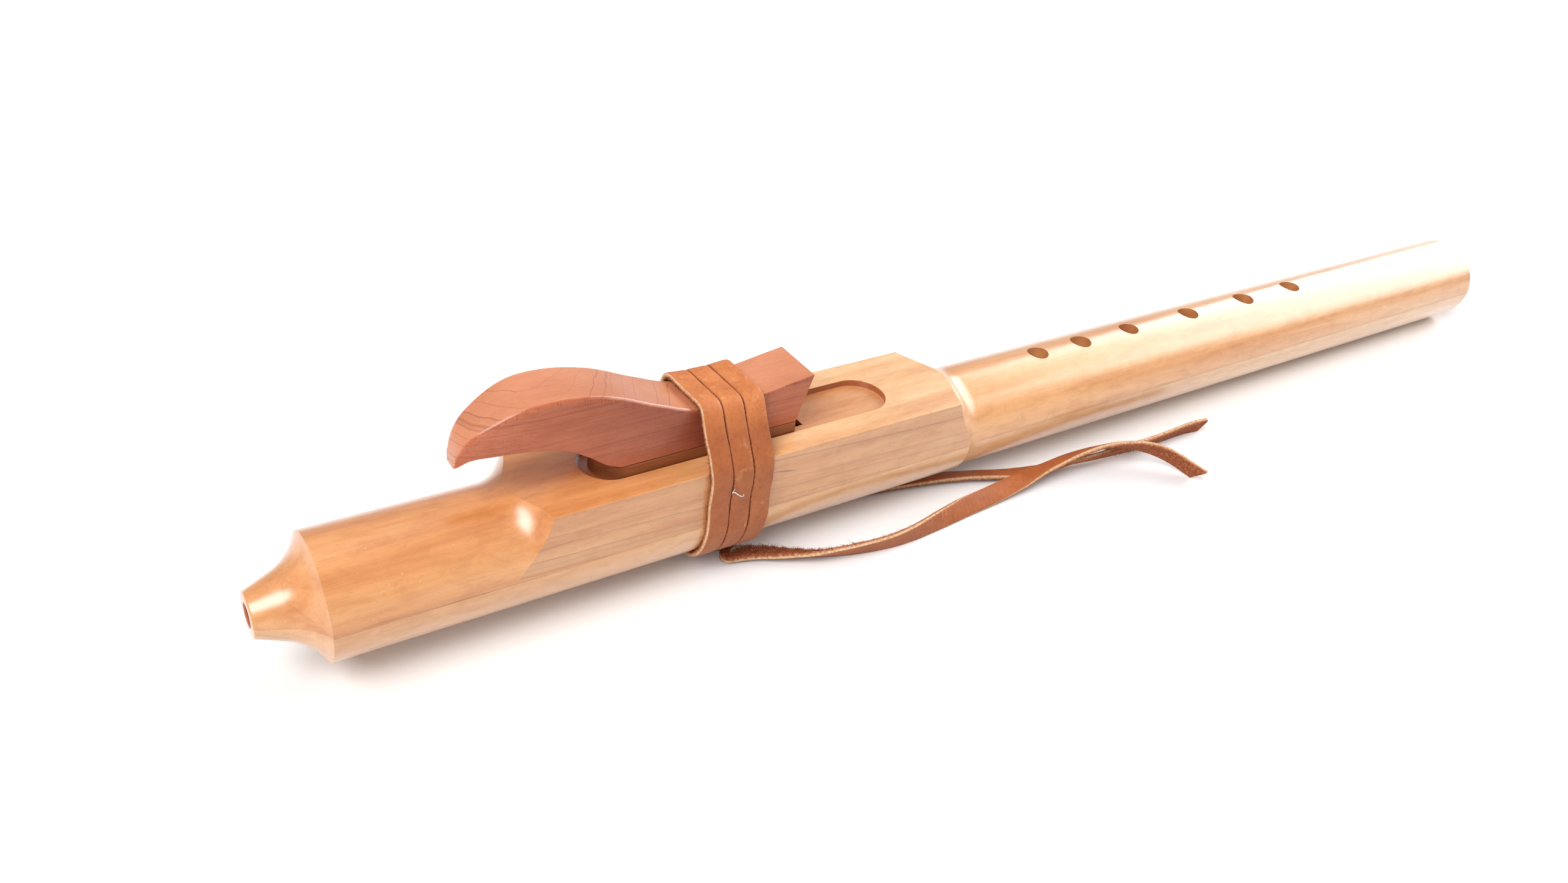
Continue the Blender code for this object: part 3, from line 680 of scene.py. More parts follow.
def wood_growth(tree, vector, pith, lean, spacing, wobble, detail=2.0):
    """Growth rings round a pith that runs along the wood: how far a point lies from one ring to the next, from
    0 to 1, and how dark that ring is."""
    wobbled = tree.nodes.new("ShaderNodeTexNoise")
    wobbled.inputs["Scale"].default_value = 1.0
    wobbled.inputs["Detail"].default_value = detail
    tree.links.new(stretched(tree, vector, (9, 60, 60)), wobbled.inputs["Vector"])
    centred = tree.nodes.new("ShaderNodeVectorMath")
    centred.operation = "MULTIPLY_ADD"
    tree.links.new(wobbled.outputs["Color"], centred.inputs[0])
    centred.inputs[1].default_value = (0, wobble, wobble)
    tree.links.new(stretched(tree, vector, (1, 1, 1), (0, lean, 0), (0, -pith[0], -pith[1])), centred.inputs[2])
    flattened = tree.nodes.new("ShaderNodeVectorMath")
    flattened.operation = "MULTIPLY"
    tree.links.new(centred.outputs[0], flattened.inputs[0])
    flattened.inputs[1].default_value = (0, 1, 1)
    distance = tree.nodes.new("ShaderNodeVectorMath")
    distance.operation = "LENGTH"
    tree.links.new(flattened.outputs[0], distance.inputs[0])
    rings = sum_of(tree, "DIVIDE", distance.outputs["Value"], spacing)
    uneven = tree.nodes.new("ShaderNodeTexNoise")
    uneven.noise_dimensions = "1D"
    uneven.inputs["Scale"].default_value = 0.7
    tree.links.new(rings, uneven.inputs["W"])
    rings = sum_of(tree, "ADD", rings, sum_of(tree, "MULTIPLY", uneven.outputs["Fac"], 1.8))
    depth = tree.nodes.new("ShaderNodeTexWhiteNoise")
    depth.noise_dimensions = "1D"
    tree.links.new(sum_of(tree, "FLOOR", rings, 0.0), depth.inputs["W"])
    return sum_of(tree, "FRACT", rings, 0.0), depth.outputs["Value"]


def body_half_wood(name, dark, middle, light, spacing, line_depth, pith, lean):
    """Lacquered light hardwood: broad soft bands, fine streaks, a few thin growth lines and short dark pores.
    It is painted paler and yellower towards the foot and on the block's flat top, as painted light, and paler and bluer
    on the block's two flat sides, as painted sheen; there its growth lines show more.
    Inside the nest, holes and chambers it is darker and redder: partly the raw wood's own colour, partly painted shade."""
    material, tree, shader, where = new_material(name, 0.3)
    bands = cloudy(tree, stretched(tree, where, (1.6, 20, 26)), 5.0, 3.0, 0.5, 0.5)
    streaks = cloudy(tree, stretched(tree, where, (11, 170, 170)), 1.0, 5.0, 0.62, 0.6)
    shade = sum_of(tree, "ADD", sum_of(tree, "MULTIPLY", bands, 0.55), sum_of(tree, "MULTIPLY", streaks, 0.45))
    colour = ramp(tree, shade, [(0.38, dark), (0.5, middle), (0.62, light)])
    growth, ring_depth = wood_growth(tree, where, pith, lean, spacing, 0.005, 4.0)
    growth = ramp(tree, growth, [(0.0, (0, 0, 0)), (0.55, (0, 0, 0)), (0.9, (0.3, 0.3, 0.3)), (0.95, (1, 1, 1)), (1.0, (0, 0, 0))])
    fading = share_between(tree, cloudy(tree, stretched(tree, where, (9, 40, 40)), 1.0, 3.0, 0.6), 0.3, 0.58)
    planed_and_sheen = painted(tree, "planed_and_sheen")
    ring_depth = sum_of(tree, "MAXIMUM", ring_depth, sum_of(tree, "MULTIPLY", planed_and_sheen, 0.42))
    growth = sum_of(tree, "MULTIPLY", growth, sum_of(tree, "MULTIPLY", ring_depth, sum_of(tree, "MAXIMUM", fading, planed_and_sheen)))
    growth = sum_of(tree, "MULTIPLY", growth, sum_of(tree, "MULTIPLY", line_depth, sum_of(tree, "ADD", planed_and_sheen, 0.55)))
    colour = mixed(tree, growth, colour, mixed(tree, 1.0, colour, (0.5, 0.36, 0.27), "MULTIPLY"))
    figure = cloudy(tree, stretched(tree, where, (110, 260, 260)), 1.0, 4.0, 0.65, 0.8)
    colour = mixed(tree, 1.0, colour, ramp(tree, figure, [(0.34, (0.9, 0.85, 0.8)), (0.56, (1, 1, 1))]), "MULTIPLY")
    fibres = cloudy(tree, stretched(tree, where, (60, 3600, 3600)), 1.0, 2.0)
    colour = mixed(tree, 0.5, colour, ramp(tree, fibres, [(0.3, (0.88, 0.84, 0.8)), (0.6, (1, 1, 1))]), "MULTIPLY")
    pores = cloudy(tree, stretched(tree, where, (600, 6500, 6500)), 1.0, 1.0)
    colour = mixed(tree, 0.5, colour, ramp(tree, pores, [(0.66, (1, 1, 1)), (0.74, (0.62, 0.5, 0.4))]), "MULTIPLY")
    specks = cloudy(tree, stretched(tree, where, (1700, 4200, 4200)), 1.0, 0.0)
    colour = mixed(tree, share_between(tree, specks, 0.86, 0.9), colour, (0.95, 0.72, 0.5))
    split = tree.nodes.new("ShaderNodeSeparateXYZ")
    tree.links.new(where, split.inputs["Vector"])
    # Painted sheen: the block's flat sides are painted paler and bluer for the white light that they reflect. Their
    # stronger growth lines, above, are the wood's own.
    colour = mixed(tree, planed_and_sheen, colour, mixed(tree, 1.0, colour, (0.96, 1.04, 1.2), "MULTIPLY"))
    # Painted light: the block's flat top behind the bird is painted paler and yellower.
    lit_flat_top = share_between(tree, split.outputs["Z"], axis_height + block_top - 0.0005, axis_height + block_top - 0.0001)
    lit_flat_top = sum_of(tree, "MULTIPLY", lit_flat_top, share_between(tree, split.outputs["X"], -0.165, -0.11))
    colour = mixed(tree, lit_flat_top, colour, mixed(tree, 1.0, colour, (1.05, 1.22, 1.45), "MULTIPLY"))
    # Painted light: the wood is painted paler and yellower towards the foot, half as much on the block's flat sides.
    lit_towards_foot = share_between(tree, split.outputs["X"], -0.14, 0.0)
    lit_towards_foot = sum_of(tree, "MULTIPLY", lit_towards_foot, sum_of(tree, "SUBTRACT", 1.0, sum_of(tree, "MULTIPLY", planed_and_sheen, 0.5)))
    colour = mixed(tree, lit_towards_foot, colour, mixed(tree, 1.0, colour, (1.1, 1.28, 1.5), "MULTIPLY"))
    around_mark = tree.nodes.new("ShaderNodeMapping")
    around_mark.vector_type = "TEXTURE"
    around_mark.inputs["Location"].default_value = (-0.1065, -0.017, 0.0334)
    around_mark.inputs["Rotation"].default_value = (0, 0.19, 0)
    around_mark.inputs["Scale"].default_value = (0.0045, 0.01, 0.00035)
    tree.links.new(where, around_mark.inputs["Vector"])
    gum_mark = tree.nodes.new("ShaderNodeVectorMath")
    gum_mark.operation = "LENGTH"
    tree.links.new(around_mark.outputs["Vector"], gum_mark.inputs[0])
    gum_mark = share_between(tree, gum_mark.outputs["Value"], 1.1, 0.4)
    colour = mixed(tree, sum_of(tree, "MULTIPLY", gum_mark, 0.7), colour, (0.2, 0.08, 0.045))
    # Inside the nest, holes and chambers the wood is painted darker and redder. This is partly the raw wood's own
    # colour and partly painted shade, stronger at the nest's front end under the bird.
    hollow_and_shade = mixed(tree, 1.0, colour, (0.5, 0.29, 0.24), "MULTIPLY")
    shaded_towards_mouth = share_between(tree, split.outputs["X"], -0.14, -0.155)
    hollow_share = sum_of(tree, "MULTIPLY", painted(tree, "hollow_and_shade"), sum_of(tree, "ADD", shaded_towards_mouth, 1.0))
    colour = mixed(tree, hollow_share, colour, hollow_and_shade)
    tree.links.new(colour, shader.inputs["Base Color"])
    shader.inputs["Coat Weight"].default_value = 1.0
    shader.inputs["Coat Roughness"].default_value = 0.25
    lacquer = cloudy(tree, where, 2200.0, 2.0, 0.6)
    bumped(tree, shader, sum_of(tree, "ADD", fibres, lacquer), 0.08, 0.0002)
    return material


upper_wood = body_half_wood(
    "body_wood_upper", (0.67, 0.255, 0.083), (0.77, 0.335, 0.12), (0.83, 0.405, 0.165), 0.0041, 0.9, (0.035, -0.045), -0.035
)
lower_wood = body_half_wood(
    "body_wood_lower", (0.78, 0.37, 0.15), (0.84, 0.43, 0.19), (0.87, 0.48, 0.235), 0.0031, 0.7, (-0.03, 0.05), -0.012
)


def paint_faces(piece):
    """Marks each face in the nest, holes and chambers with how much darker it is painted there, partly as painted
    shade, and marks the block's two flat sides.
    """
    hollow_and_shade = []
    planed_and_sheen = []
    for face in piece.data.polygons:
        along = face.center.x - mouth_end
        height = face.center.z - axis_height
        corners = [piece.data.vertices[number].co for number in face.vertices]
        from_axis = max(math.hypot(corner.y, corner.z - axis_height) for corner in corners)
        in_nest = abs(face.center.y) < nest_half_width + 0.00005 and 0.012 < height < block_top - 0.0003
        in_nest = in_nest and nest_front - 0.0001 < along < nest_rear + 0.0001
        in_hole = any(
            math.hypot(along - spot, face.center.y) < radius + 0.00005 and height > 0 for spot, radius in finger_holes
        )
        inside = from_axis < (0.0036 if along < 0.025 else bore_radius + 0.0001)
        in_flue = abs(face.center.y) < flue_half_width + 0.0001 and 0.004 < height < nest_floor - 0.0002
        in_flue = in_flue and 0.09 < along < 0.17 and from_axis < body_radius - 0.0003
        wall = in_nest and face.normal.z < 0.9 or inside or in_flue
        in_hole = in_hole and abs(face.normal.z) < 0.5
        hollow_and_shade.append(1.0 if wall else max(0.38 * in_hole, 0.3 * in_nest))
        # The block's flat sides are marked both for their stronger growth lines and for a painted sheen.
        planed_and_sheen.append(float(abs(face.normal.y) > 0.999 and height > 0))
    for name, values in (("hollow_and_shade", hollow_and_shade), ("planed_and_sheen", planed_and_sheen)):
        piece.data.attributes.new(name, "FLOAT", "FACE").data.foreach_set("value", values)


bpy.ops.object.select_all(action="DESELECT")
bpy.context.view_layer.objects.active = body
body.select_set(True)
bpy.ops.object.duplicate()
lower_half = bpy.context.object
lower_half.name = "body_lower"
body.name = "body_upper"
below = block_of("below", -0.01, 0.51, 0.03, -0.03, glue_line / 2)
above = block_of("above", -0.01, 0.51, 0.03, -glue_line / 2, 0.03)
carve(body, below)
carve(lower_half, above)
paint_faces(body)
paint_faces(lower_half)
finished(body, upper_wood, "body", "body_wood", "body_top_half")
finished(lower_half, lower_wood, "body", "body_wood", "body_bottom_half")

# The spacer plate is a thin hardwood plate with a round nose that lies in the nest under the bird.
# The flue is cut along its underside and leads the air from the exit hole to the splitting edge.
spacer_base = 0.0161
spacer_top = 0.0211
spacer_half_width = 0.0086
spacer_front = 0.09
spacer_rear = 0.1502
spacer = block_of("spacer", spacer_front, spacer_rear, spacer_half_width, spacer_base, spacer_top)
round_edges(
    spacer,
    lambda edge: abs(edge.verts[0].co.z - edge.verts[1].co.z) > 0.004
    and edge.verts[0].co.x < mouth_end + spacer_front + 0.001,
    spacer_half_width - 0.00001,
    20,
)
round_edges(spacer, lambda edge: edge.verts[0].co.z + edge.verts[1].co.z > 2 * (axis_height + spacer_top - 1e-4), 0.0003, 2)
carve(spacer, block_of("flue", 0.0965, spacer_rear + 0.002, flue_half_width, spacer_base - 0.002, spacer_base + 0.0018))
spacer_wood, tree, shader, where = new_material("spacer_wood", 0.45)
streaks = cloudy(tree, stretched(tree, where, (2, 40, 60)), 6.0, 5.0, 0.6, 0.4)
# The plate's colour is set dark: partly its own brown, partly painted shade, as it lies under the bird.
colour = ramp(tree, streaks, [(0.3, (0.215, 0.06, 0.017)), (0.5, (0.3, 0.092, 0.027)), (0.72, (0.38, 0.132, 0.04))])
layers, _ = wood_growth(tree, where, (0.01, 0.09), 0.01, 0.0012, 0.002)
colour = mixed(
    tree, 1.0, colour, ramp(tree, layers, [(0.0, (1, 1, 1)), (0.7, (0.94, 0.9, 0.86)), (0.9, (0.66, 0.58, 0.5)), (0.99, (1, 1, 1))]), "MULTIPLY"
)
fibres = cloudy(tree, stretched(tree, where, (80, 3000, 3000)), 1.0, 2.0)
colour = mixed(tree, 0.7, colour, ramp(tree, fibres, [(0.3, (0.8, 0.76, 0.7)), (0.6, (1, 1, 1))]), "MULTIPLY")
tree.links.new(colour, shader.inputs["Base Color"])
bumped(tree, shader, fibres, 0.1, 0.0002)
finished(spacer, spacer_wood, "tied_block", "spacer_wood", "spacer_plate")

# The bird is sawn from a block of red cedar and rubbed smooth: an overhanging head with a blunt beak, a low
# neck where the lace holds it down, and a slanting rear. It stands on the spacer plate and closes the flue.
bird_base = 0.0212
bird_beak = 0.0514
bird_length = 0.1034
bird_rear_slant = 0.0046
bird_half_width = 0.0086
top_line = [
    (0.0, 0.0086),
    (0.0009, 0.0133),
    (0.0035, 0.0174),
    (0.0088, 0.0211),
    (0.0165, 0.0244),
    (0.0262, 0.0251),
    (0.0396, 0.0226),
    (0.0545, 0.0163),
    (0.0655, 0.0122),
    (0.0755, 0.0115),
    (0.1034, 0.0145),
]
under_line = [
    (0.0, 0.0080),
    (0.0028, 0.0108),
    (0.0095, 0.0120),
    (0.018, 0.0119),
    (0.0265, 0.0100),
    (0.0345, 0.0054),
    (0.0395, 0.0016),
    (0.0435, 0.0),
]


def height_on(line, distance):
    """Height of a line of (distance, height) points at a distance."""
    for start, end in zip(line, line[1:]):
        if start[0] <= distance <= end[0]:
            share = (distance - start[0]) / (end[0] - start[0])
            return start[1] + share * (end[1] - start[1])
    return line[0][1] if distance < line[0][0] else line[-1][1]


def bird_width_at(distance):
    """Half width of the bird at a distance behind its beak: a blunt pointed nose, then parallel sides."""
    left = 1 - min(1.0, (distance + 0.0002) / 0.0218)
    return bird_half_width * (1 - left**1.25) ** 0.33


fine_top = [(point.x, point.y) for point in smooth_line([(d, h, 0) for d, h in top_line], 0.0012)]
fine_under = [(point.x, max(0.0, point.y)) for point in smooth_line([(d, h, 0) for d, h in under_line], 0.0012)]
fine_under.append((bird_length - bird_rear_slant, 0.0))
# The bird is drawn out of a small plate at the beak, station by station.
bpy.ops.mesh.primitive_plane_add(size=1, location=(0, 0, 0), rotation=(0, math.pi / 2, 0))
bird = bpy.context.object
bird.name = "cedar_bird"
bpy.ops.object.transform_apply(location=True, rotation=True, scale=True)
bpy.ops.object.mode_set(mode="EDIT")
bpy.ops.mesh.select_all(action="SELECT")
place, high, low, half = 0.0, 0.5, -0.5, 0.5
for number, (distance, height) in enumerate(fine_top):
    share = distance / bird_length
    low_distance = distance * (1 - share * bird_rear_slant / bird_length)
    under = height_on(fine_under, low_distance)
    wide = bird_width_at(distance)
    if number:
        bpy.ops.mesh.extrude_region_move(TRANSFORM_OT_translate={"value": (distance - place, 0, 0)})
    middle = (high + low) / 2
    bpy.ops.transform.resize(value=(1, wide / half, (height - under) / (high - low)), center_override=(distance, 0, middle))
    bpy.ops.transform.translate(value=(0, 0, (height + under) / 2 - middle))
    place, high, low, half = distance, height, under, wide
bpy.ops.mesh.select_all(action="SELECT")
bpy.ops.mesh.normals_make_consistent(inside=False)
bpy.ops.transform.translate(value=(mouth_end + bird_beak, 0, axis_height + bird_base))
mesh_data = bmesh.from_edit_mesh(bird.data)
for vertex in mesh_data.verts:
    distance = vertex.co.x - mouth_end - bird_beak
    middle = (height_on(fine_top, distance) + height_on(fine_under, distance)) / 2
    if vertex.co.z - axis_height - bird_base < middle:
        vertex.co.x -= distance * distance / bird_length * bird_rear_slant / bird_length
bmesh.update_edit_mesh(bird.data)
bpy.ops.object.mode_set(mode="OBJECT")



rounding = 0.0013
mesh_data = bmesh.new()
mesh_data.from_mesh(bird.data)
shares = []
for edge in mesh_data.edges:
    middle = (edge.verts[0].co + edge.verts[1].co) / 2
    distance = middle.x - mouth_end - bird_beak
    low = height_on(fine_under, distance)
    high = height_on(fine_top, distance)
    most = 0.22 if middle.z - axis_height - bird_base < (low + high) / 2 or distance > 0.08 else 1.0
    shares.append(min(most, 0.4 * (high - low) / rounding) if corner_angle(edge) > math.radians(40) else 0.0)
mesh_data.free()
bird.data.attributes.new("bevel_weight_edge", "FLOAT", "EDGE").data.foreach_set("value", shares)
modifier = bird.modifiers.new("rounding", "BEVEL")
modifier.limit_method = "WEIGHT"
modifier.width = rounding
modifier.segments = 6
modifier.use_clamp_overlap = False
bpy.ops.object.select_all(action="DESELECT")
bpy.context.view_layer.objects.active = bird
bird.select_set(True)
bpy.ops.object.modifier_apply(modifier=modifier.name)
bird_mesh = bird.data
rise = []
for vertex in bird_mesh.vertices:
    distance = vertex.co.x - mouth_end - bird_beak
    low = height_on(fine_under, distance)
    high = height_on(fine_top, distance)
    rise.append((vertex.co.z - axis_height - bird_base - low) / max(0.0005, high - low))
paint(bird_mesh, "rise", rise)
cedar, tree, shader, where = new_material("cedar", 0.34)
facing = tree.nodes.new("ShaderNodeSeparateXYZ")
tree.links.new(tree.nodes.new("ShaderNodeTexCoord").outputs["Normal"], facing.inputs["Vector"])
sideways = share_between(tree, sum_of(tree, "ABSOLUTE", facing.outputs["Y"], 0.0), 0.35, 0.9)
place = tree.nodes.new("ShaderNodeSeparateXYZ")
tree.links.new(where, place.inputs["Vector"])
clouds = cloudy(tree, stretched(tree, where, (30, 60, 90)), 1.0, 4.0, 0.6)
top_colour = ramp(tree, clouds, [(0.3, (0.59, 0.208, 0.098)), (0.5, (0.66, 0.248, 0.123)), (0.7, (0.72, 0.29, 0.153))])
# Painted shade: the sides take a darker, redder copy of the crown's colour.
shaded_side_colour = ramp(tree, clouds, [(0.3, (0.46, 0.122, 0.056)), (0.5, (0.54, 0.16, 0.076)), (0.7, (0.62, 0.2, 0.104))])
# Painted shade: the sides grow darker still close to the lace wrap, darkest beside it.
shaded_towards_wrap = share_between(tree, place.outputs["X"], -0.168, -0.125)
shaded_towards_wrap = sum_of(tree, "SUBTRACT", shaded_towards_wrap, share_between(tree, place.outputs["X"], -0.118, -0.108))
shaded_side_colour = mixed(tree, shaded_towards_wrap, shaded_side_colour, mixed(tree, 1.0, shaded_side_colour, (0.48, 0.35, 0.33), "MULTIPLY"))
colour = mixed(tree, sideways, top_colour, shaded_side_colour)

# The growth rings lie nearly level. They show as thin lines across the crown, and as fine straight ones on the sides.
ring_spacing = 0.0024
rings, ring_depth = wood_growth(tree, where, (-0.1290, -0.4814), 0.066, ring_spacing, 0.0022, 6.0)
from_line = sum_of(tree, "MULTIPLY", sum_of(tree, "ABSOLUTE", sum_of(tree, "SUBTRACT", rings, 0.5), 0.0), ring_spacing)
slant = sum_of(tree, "SUBTRACT", 1.0, sum_of(tree, "MULTIPLY", facing.outputs["Z"], facing.outputs["Z"]))
slant = sum_of(tree, "MAXIMUM", sum_of(tree, "SQRT", sum_of(tree, "MAXIMUM", slant, 0.0), 0.0), 0.1)
from_line = sum_of(tree, "DIVIDE", from_line, slant)
line = sum_of(tree, "SUBTRACT", 1.0, share_between(tree, from_line, 0.00006, 0.00022))
line = sum_of(tree, "MULTIPLY", line, sum_of(tree, "ADD", 0.4, sum_of(tree, "MULTIPLY", ring_depth, 0.35)))
line = sum_of(tree, "MULTIPLY", line, sum_of(tree, "SUBTRACT", 1.0, sum_of(tree, "MULTIPLY", sideways, 0.85)))
line = sum_of(tree, "MULTIPLY", line, share_between(tree, painted(tree, "rise"), 0.2, 0.4))
colour = mixed(tree, line, colour, mixed(tree, 1.0, colour, (0.5, 0.36, 0.34), "MULTIPLY"))
fine_rings, fine_depth = wood_growth(tree, where, (0.004, 0.11), 0.0, 0.0011, 0.0005)
fine_lines = ramp(tree, fine_rings, [(0.0, (0, 0, 0)), (0.5, (0, 0, 0)), (0.85, (1, 1, 1)), (1.0, (0, 0, 0))])
fine_lines = sum_of(tree, "MULTIPLY", fine_lines, sum_of(tree, "MULTIPLY", sideways, sum_of(tree, "MULTIPLY", fine_depth, 0.6)))
colour = mixed(tree, fine_lines, colour, mixed(tree, 1.0, colour, (0.62, 0.5, 0.5), "MULTIPLY"))
threads = cloudy(tree, stretched(tree, where, (45, 2200, 2600)), 1.0, 3.0)
thread_share = sum_of(tree, "ADD", 0.25, sum_of(tree, "MULTIPLY", sideways, 0.15))
colour = mixed(tree, thread_share, colour, ramp(tree, threads, [(0.38, (0.74, 0.62, 0.58)), (0.56, (1, 1, 1))]), "MULTIPLY")

# Along the rounded edges the saw and the sandpaper leave a redder band with short marks across it.
edge_band = sum_of(tree, "MULTIPLY", sum_of(tree, "MULTIPLY", sideways, sum_of(tree, "SUBTRACT", 1.0, sideways)), 3.2)
colour = mixed(tree, edge_band, colour, mixed(tree, 1.0, colour, (0.82, 0.62, 0.55), "MULTIPLY"))
marks = cloudy(tree, stretched(tree, where, (2600, 60, 260)), 1.0, 1.0)
marks = sum_of(tree, "MULTIPLY", share_between(tree, marks, 0.56, 0.66), share_between(tree, painted(tree, "rise"), 0.86, 0.94))
marks = sum_of(tree, "MULTIPLY", marks, sum_of(tree, "MULTIPLY", sideways, 0.5))
colour = mixed(tree, marks, colour, (0.2, 0.05, 0.03))
# Painted glints: small pale flecks, in patches, on the sides.
painted_glint = cloudy(tree, where, 6500.0, 1.0)
patchy = share_between(tree, cloudy(tree, where, 160.0, 2.0), 0.35, 0.6)
painted_glint = sum_of(tree, "MULTIPLY", share_between(tree, painted_glint, 0.66, 0.74), sum_of(tree, "MULTIPLY", sideways, patchy))
colour = mixed(tree, sum_of(tree, "MULTIPLY", painted_glint, 0.8), colour, (0.86, 0.6, 0.5))
tree.links.new(colour, shader.inputs["Base Color"])
shader.inputs["Specular IOR Level"].default_value = 0.3
tree.links.new(sum_of(tree, "SUBTRACT", 0.6, sum_of(tree, "MULTIPLY", sideways, 0.5)), shader.inputs["Coat Weight"])
shader.inputs["Coat Roughness"].default_value = 0.12
bumped(tree, shader, threads, 0.1, 0.0002)
finished(bird, cedar, "tied_block", "cedar", "bird", smooth=30)

# Three turns of the lace go round block and bird, side by side and pulled tight, grain side out.
# Thin gaps stay between them. Only the first turn's outer cut edge shows cream; the other cut edges are painted dark,
# as painted shade in the gaps.
wrap_gap = 0.0003
wrap_centre = 0.1269
wrap_pitch = lace_width + 0.0003


def wrap_line(depth, bird_top):
    """Outline of a turn round block and bird, as (across, height) points, at a depth in the lace. The lace is too
    stiff to follow the wood's corners closely, so it goes round each of them in a wider bend."""
    corner_lean = math.atan2(body_radius - bird_half_width, bird_top - block_top)
    bends = []
    for corner, first, last, bend in (
        ((body_radius, block_top), 0.0, corner_lean, 0.009),
        ((bird_half_width, bird_top), corner_lean, math.pi / 2, 0.0032),
    ):
        facing_out = (first + last) / 2
        inset = bend - wrap_gap
        bends.append((corner[0] - inset * math.cos(facing_out), corner[1] - inset * math.sin(facing_out), bend))
    under = (0.0, 0.0, body_radius + wrap_gap)
    leave_under = tangent_turn(under, bends[0])
    leave_shoulder = tangent_turn(bends[0], bends[1])
    right = []
    for (across, height, bend), start, end, steps in (
        (bends[0], leave_under, leave_shoulder, 12),
        (bends[1], leave_shoulder, math.pi / 2, 12),
    ):
        right.append(arc((across, height), bend + depth, math.degrees(start), math.degrees(end), steps))
    crest = right[1][-1]
    half = right[0] + straight(right[0][-1], right[1][0], 12) + right[1] + straight(crest, (0.0, crest[1]), 6)
    left = [(-a, b) for a, b in reversed(half)]
    round_under = arc((0.0, 0.0), under[2] + depth, 180 - math.degrees(leave_under), 360 + math.degrees(leave_under), 60)
    side = straight(round_under[-1], right[0][0], 14)
    return half + [(0.0, crest[1])] + left + [(-a, b) for a, b in reversed(side)] + round_under + side


def tangent_turn(first, second):
    """Way out, in radians, of the straight stretch that touches two bends from the right."""
    away = (first[0] - second[0], first[1] - second[1])
    length = math.hypot(*away)
    return math.atan2(away[1], away[0]) + math.acos((second[2] - first[2]) / length)


def straight(start, end, steps):
    """The points between two points, without them."""
    return [
        (start[0] + (end[0] - start[0]) * step / steps, start[1] + (end[1] - start[1]) * step / steps)
        for step in range(1, steps)
    ]


worn_spots = [
    [],
    [
        ((-0.1235, -0.0170, 0.0537), 0.0018, 0.8),
        ((-0.1224, -0.0185, 0.0514), 0.0014, 1.0),
        ((-0.1196, -0.0185, 0.0200), 0.0006, 2.4),
        ((-0.1230, -0.0190, 0.0420), 0.0075, 0.3),
    ],
    [((-0.1145, -0.0190, 0.0260), 0.002, 0.5)],
]
edge_roots = []
for turn in range(3):
    centre = wrap_centre + wrap_pitch * (turn - 1)
    # Painted shade: only the first turn's outer cut edge shows cream. The edges in the gaps between turns, and the last
    # turn's outer edge, are painted in the dark flesh colour.
    shares = lace_section(1.0 if turn == 0 else 0.0, 0.0)
    columns = []
    for across, through, flesh, cut in shares:
        place = centre - across * lace_width / 2
        bird_top = bird_base + height_on(fine_top, place - bird_beak)
        depth = (through + 1) / 2 * lace_thickness
        outline = wrap_line(depth, bird_top)
        column = []
        for i, (side, height) in enumerate(outline):
            turned_to = math.atan2(height - 0.01, side)
            around = Vector((math.cos(turned_to), math.sin(turned_to), 0))
            ripple = wander.noise(around * 2.1) * 0.0007 + wander.noise(around * 4 + Vector((0, 0, turn * 5.3))) * 0.00012
            ragged = wander.noise(Vector((i * 1.7, across * 9, turn * 3.7))) * 0.00005 * max(flesh, cut)
            column.append(Vector((mouth_end + place + ripple + ragged, side, axis_height + height)))
        columns.append(column)
    rings = [[column[i] for column in columns] for i in range(len(columns[0]))]
    piece = lace_mesh(f"lace_turn_round_{turn + 1}", rings, shares, closed=True)
    rubbed_and_lit = []
    for ring in rings:
        for point in ring:
            # Painted light on the crests of the turns; the listed spots are real rubbed wear.
            crest_light_share = min(1.0, max(0.0, (point.z - 0.05) / 0.008)) * 0.3
            spots = [math.exp(-(((point - Vector(spot)).length / reach) ** 2)) * much for spot, reach, much in worn_spots[turn]]
            rubbed_and_lit.append(max([crest_light_share] + spots))
    paint(piece.data, "wear_and_light", rubbed_and_lit)
    # Painted light: the turns are marked from a height of 49 mm up, to be painted lighter on top.
    paint(piece.data, "painted_crest_light", [min(1.0, max(0.0, (point.z - 0.049) / 0.006)) for ring in rings for point in ring])
    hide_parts(f"lace_turn_{turn + 1}")
    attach(piece, "tied_block")
    if turn == 0:
        for ring, following in zip(rings, rings[1:]):
            along = (following[0] - ring[0]).normalized()
            out = Vector((-1, 0, 0))
            if along.length > 0.5:
                edge_roots.append((ring[26], (out + (ring[0] - ring[25]).normalized() * 0.2).normalized(), along))
    if turn == 1:
        beside = [ring[5] for ring in rings if ring[5].y < 0 and abs(ring[5].z - 0.033) < 0.003]
        thread_depth = max(-spot.y for spot in beside)
make_fibres("wrap_edge_fibres", 5, 1500, edge_roots, 0.0007)

# A stray end of thread is caught between two turns, and a little fluff has gathered under them.

thread_strands = [
    [(-0.1254, 0.0338), (-0.1252, 0.0342), (-0.1250, 0.0346)],
    [(-0.1256, 0.0337), (-0.1249, 0.0334), (-0.1240, 0.0325), (-0.1226, 0.0313), (-0.1218, 0.0312), (-0.1219, 0.0318)],
    [(-0.1255, 0.0338), (-0.1257, 0.0331)],
]
mesh_data = bmesh.new()
for strand in thread_strands:
    spots = [Vector((x, -thread_depth - 0.0002, z)) for x, z in strand]
    widths = [0.00023 - 0.0001 * i / len(spots) for i in range(len(spots))]
    add_strand(mesh_data, spots, widths, Vector((0, 1, 0)), Vector((0.6, 0, 0.8)))
fibre_piece("thread_end", mesh_data, "thread")
fluff_roots = [
    (Vector((-0.1168 + 0.0005 * i, -0.0096, 0.0034)), Vector((0.1 * i - 0.3, -0.8, 0.2)).normalized(), Vector((1, 0, 0)))
    for i in range(6)
]
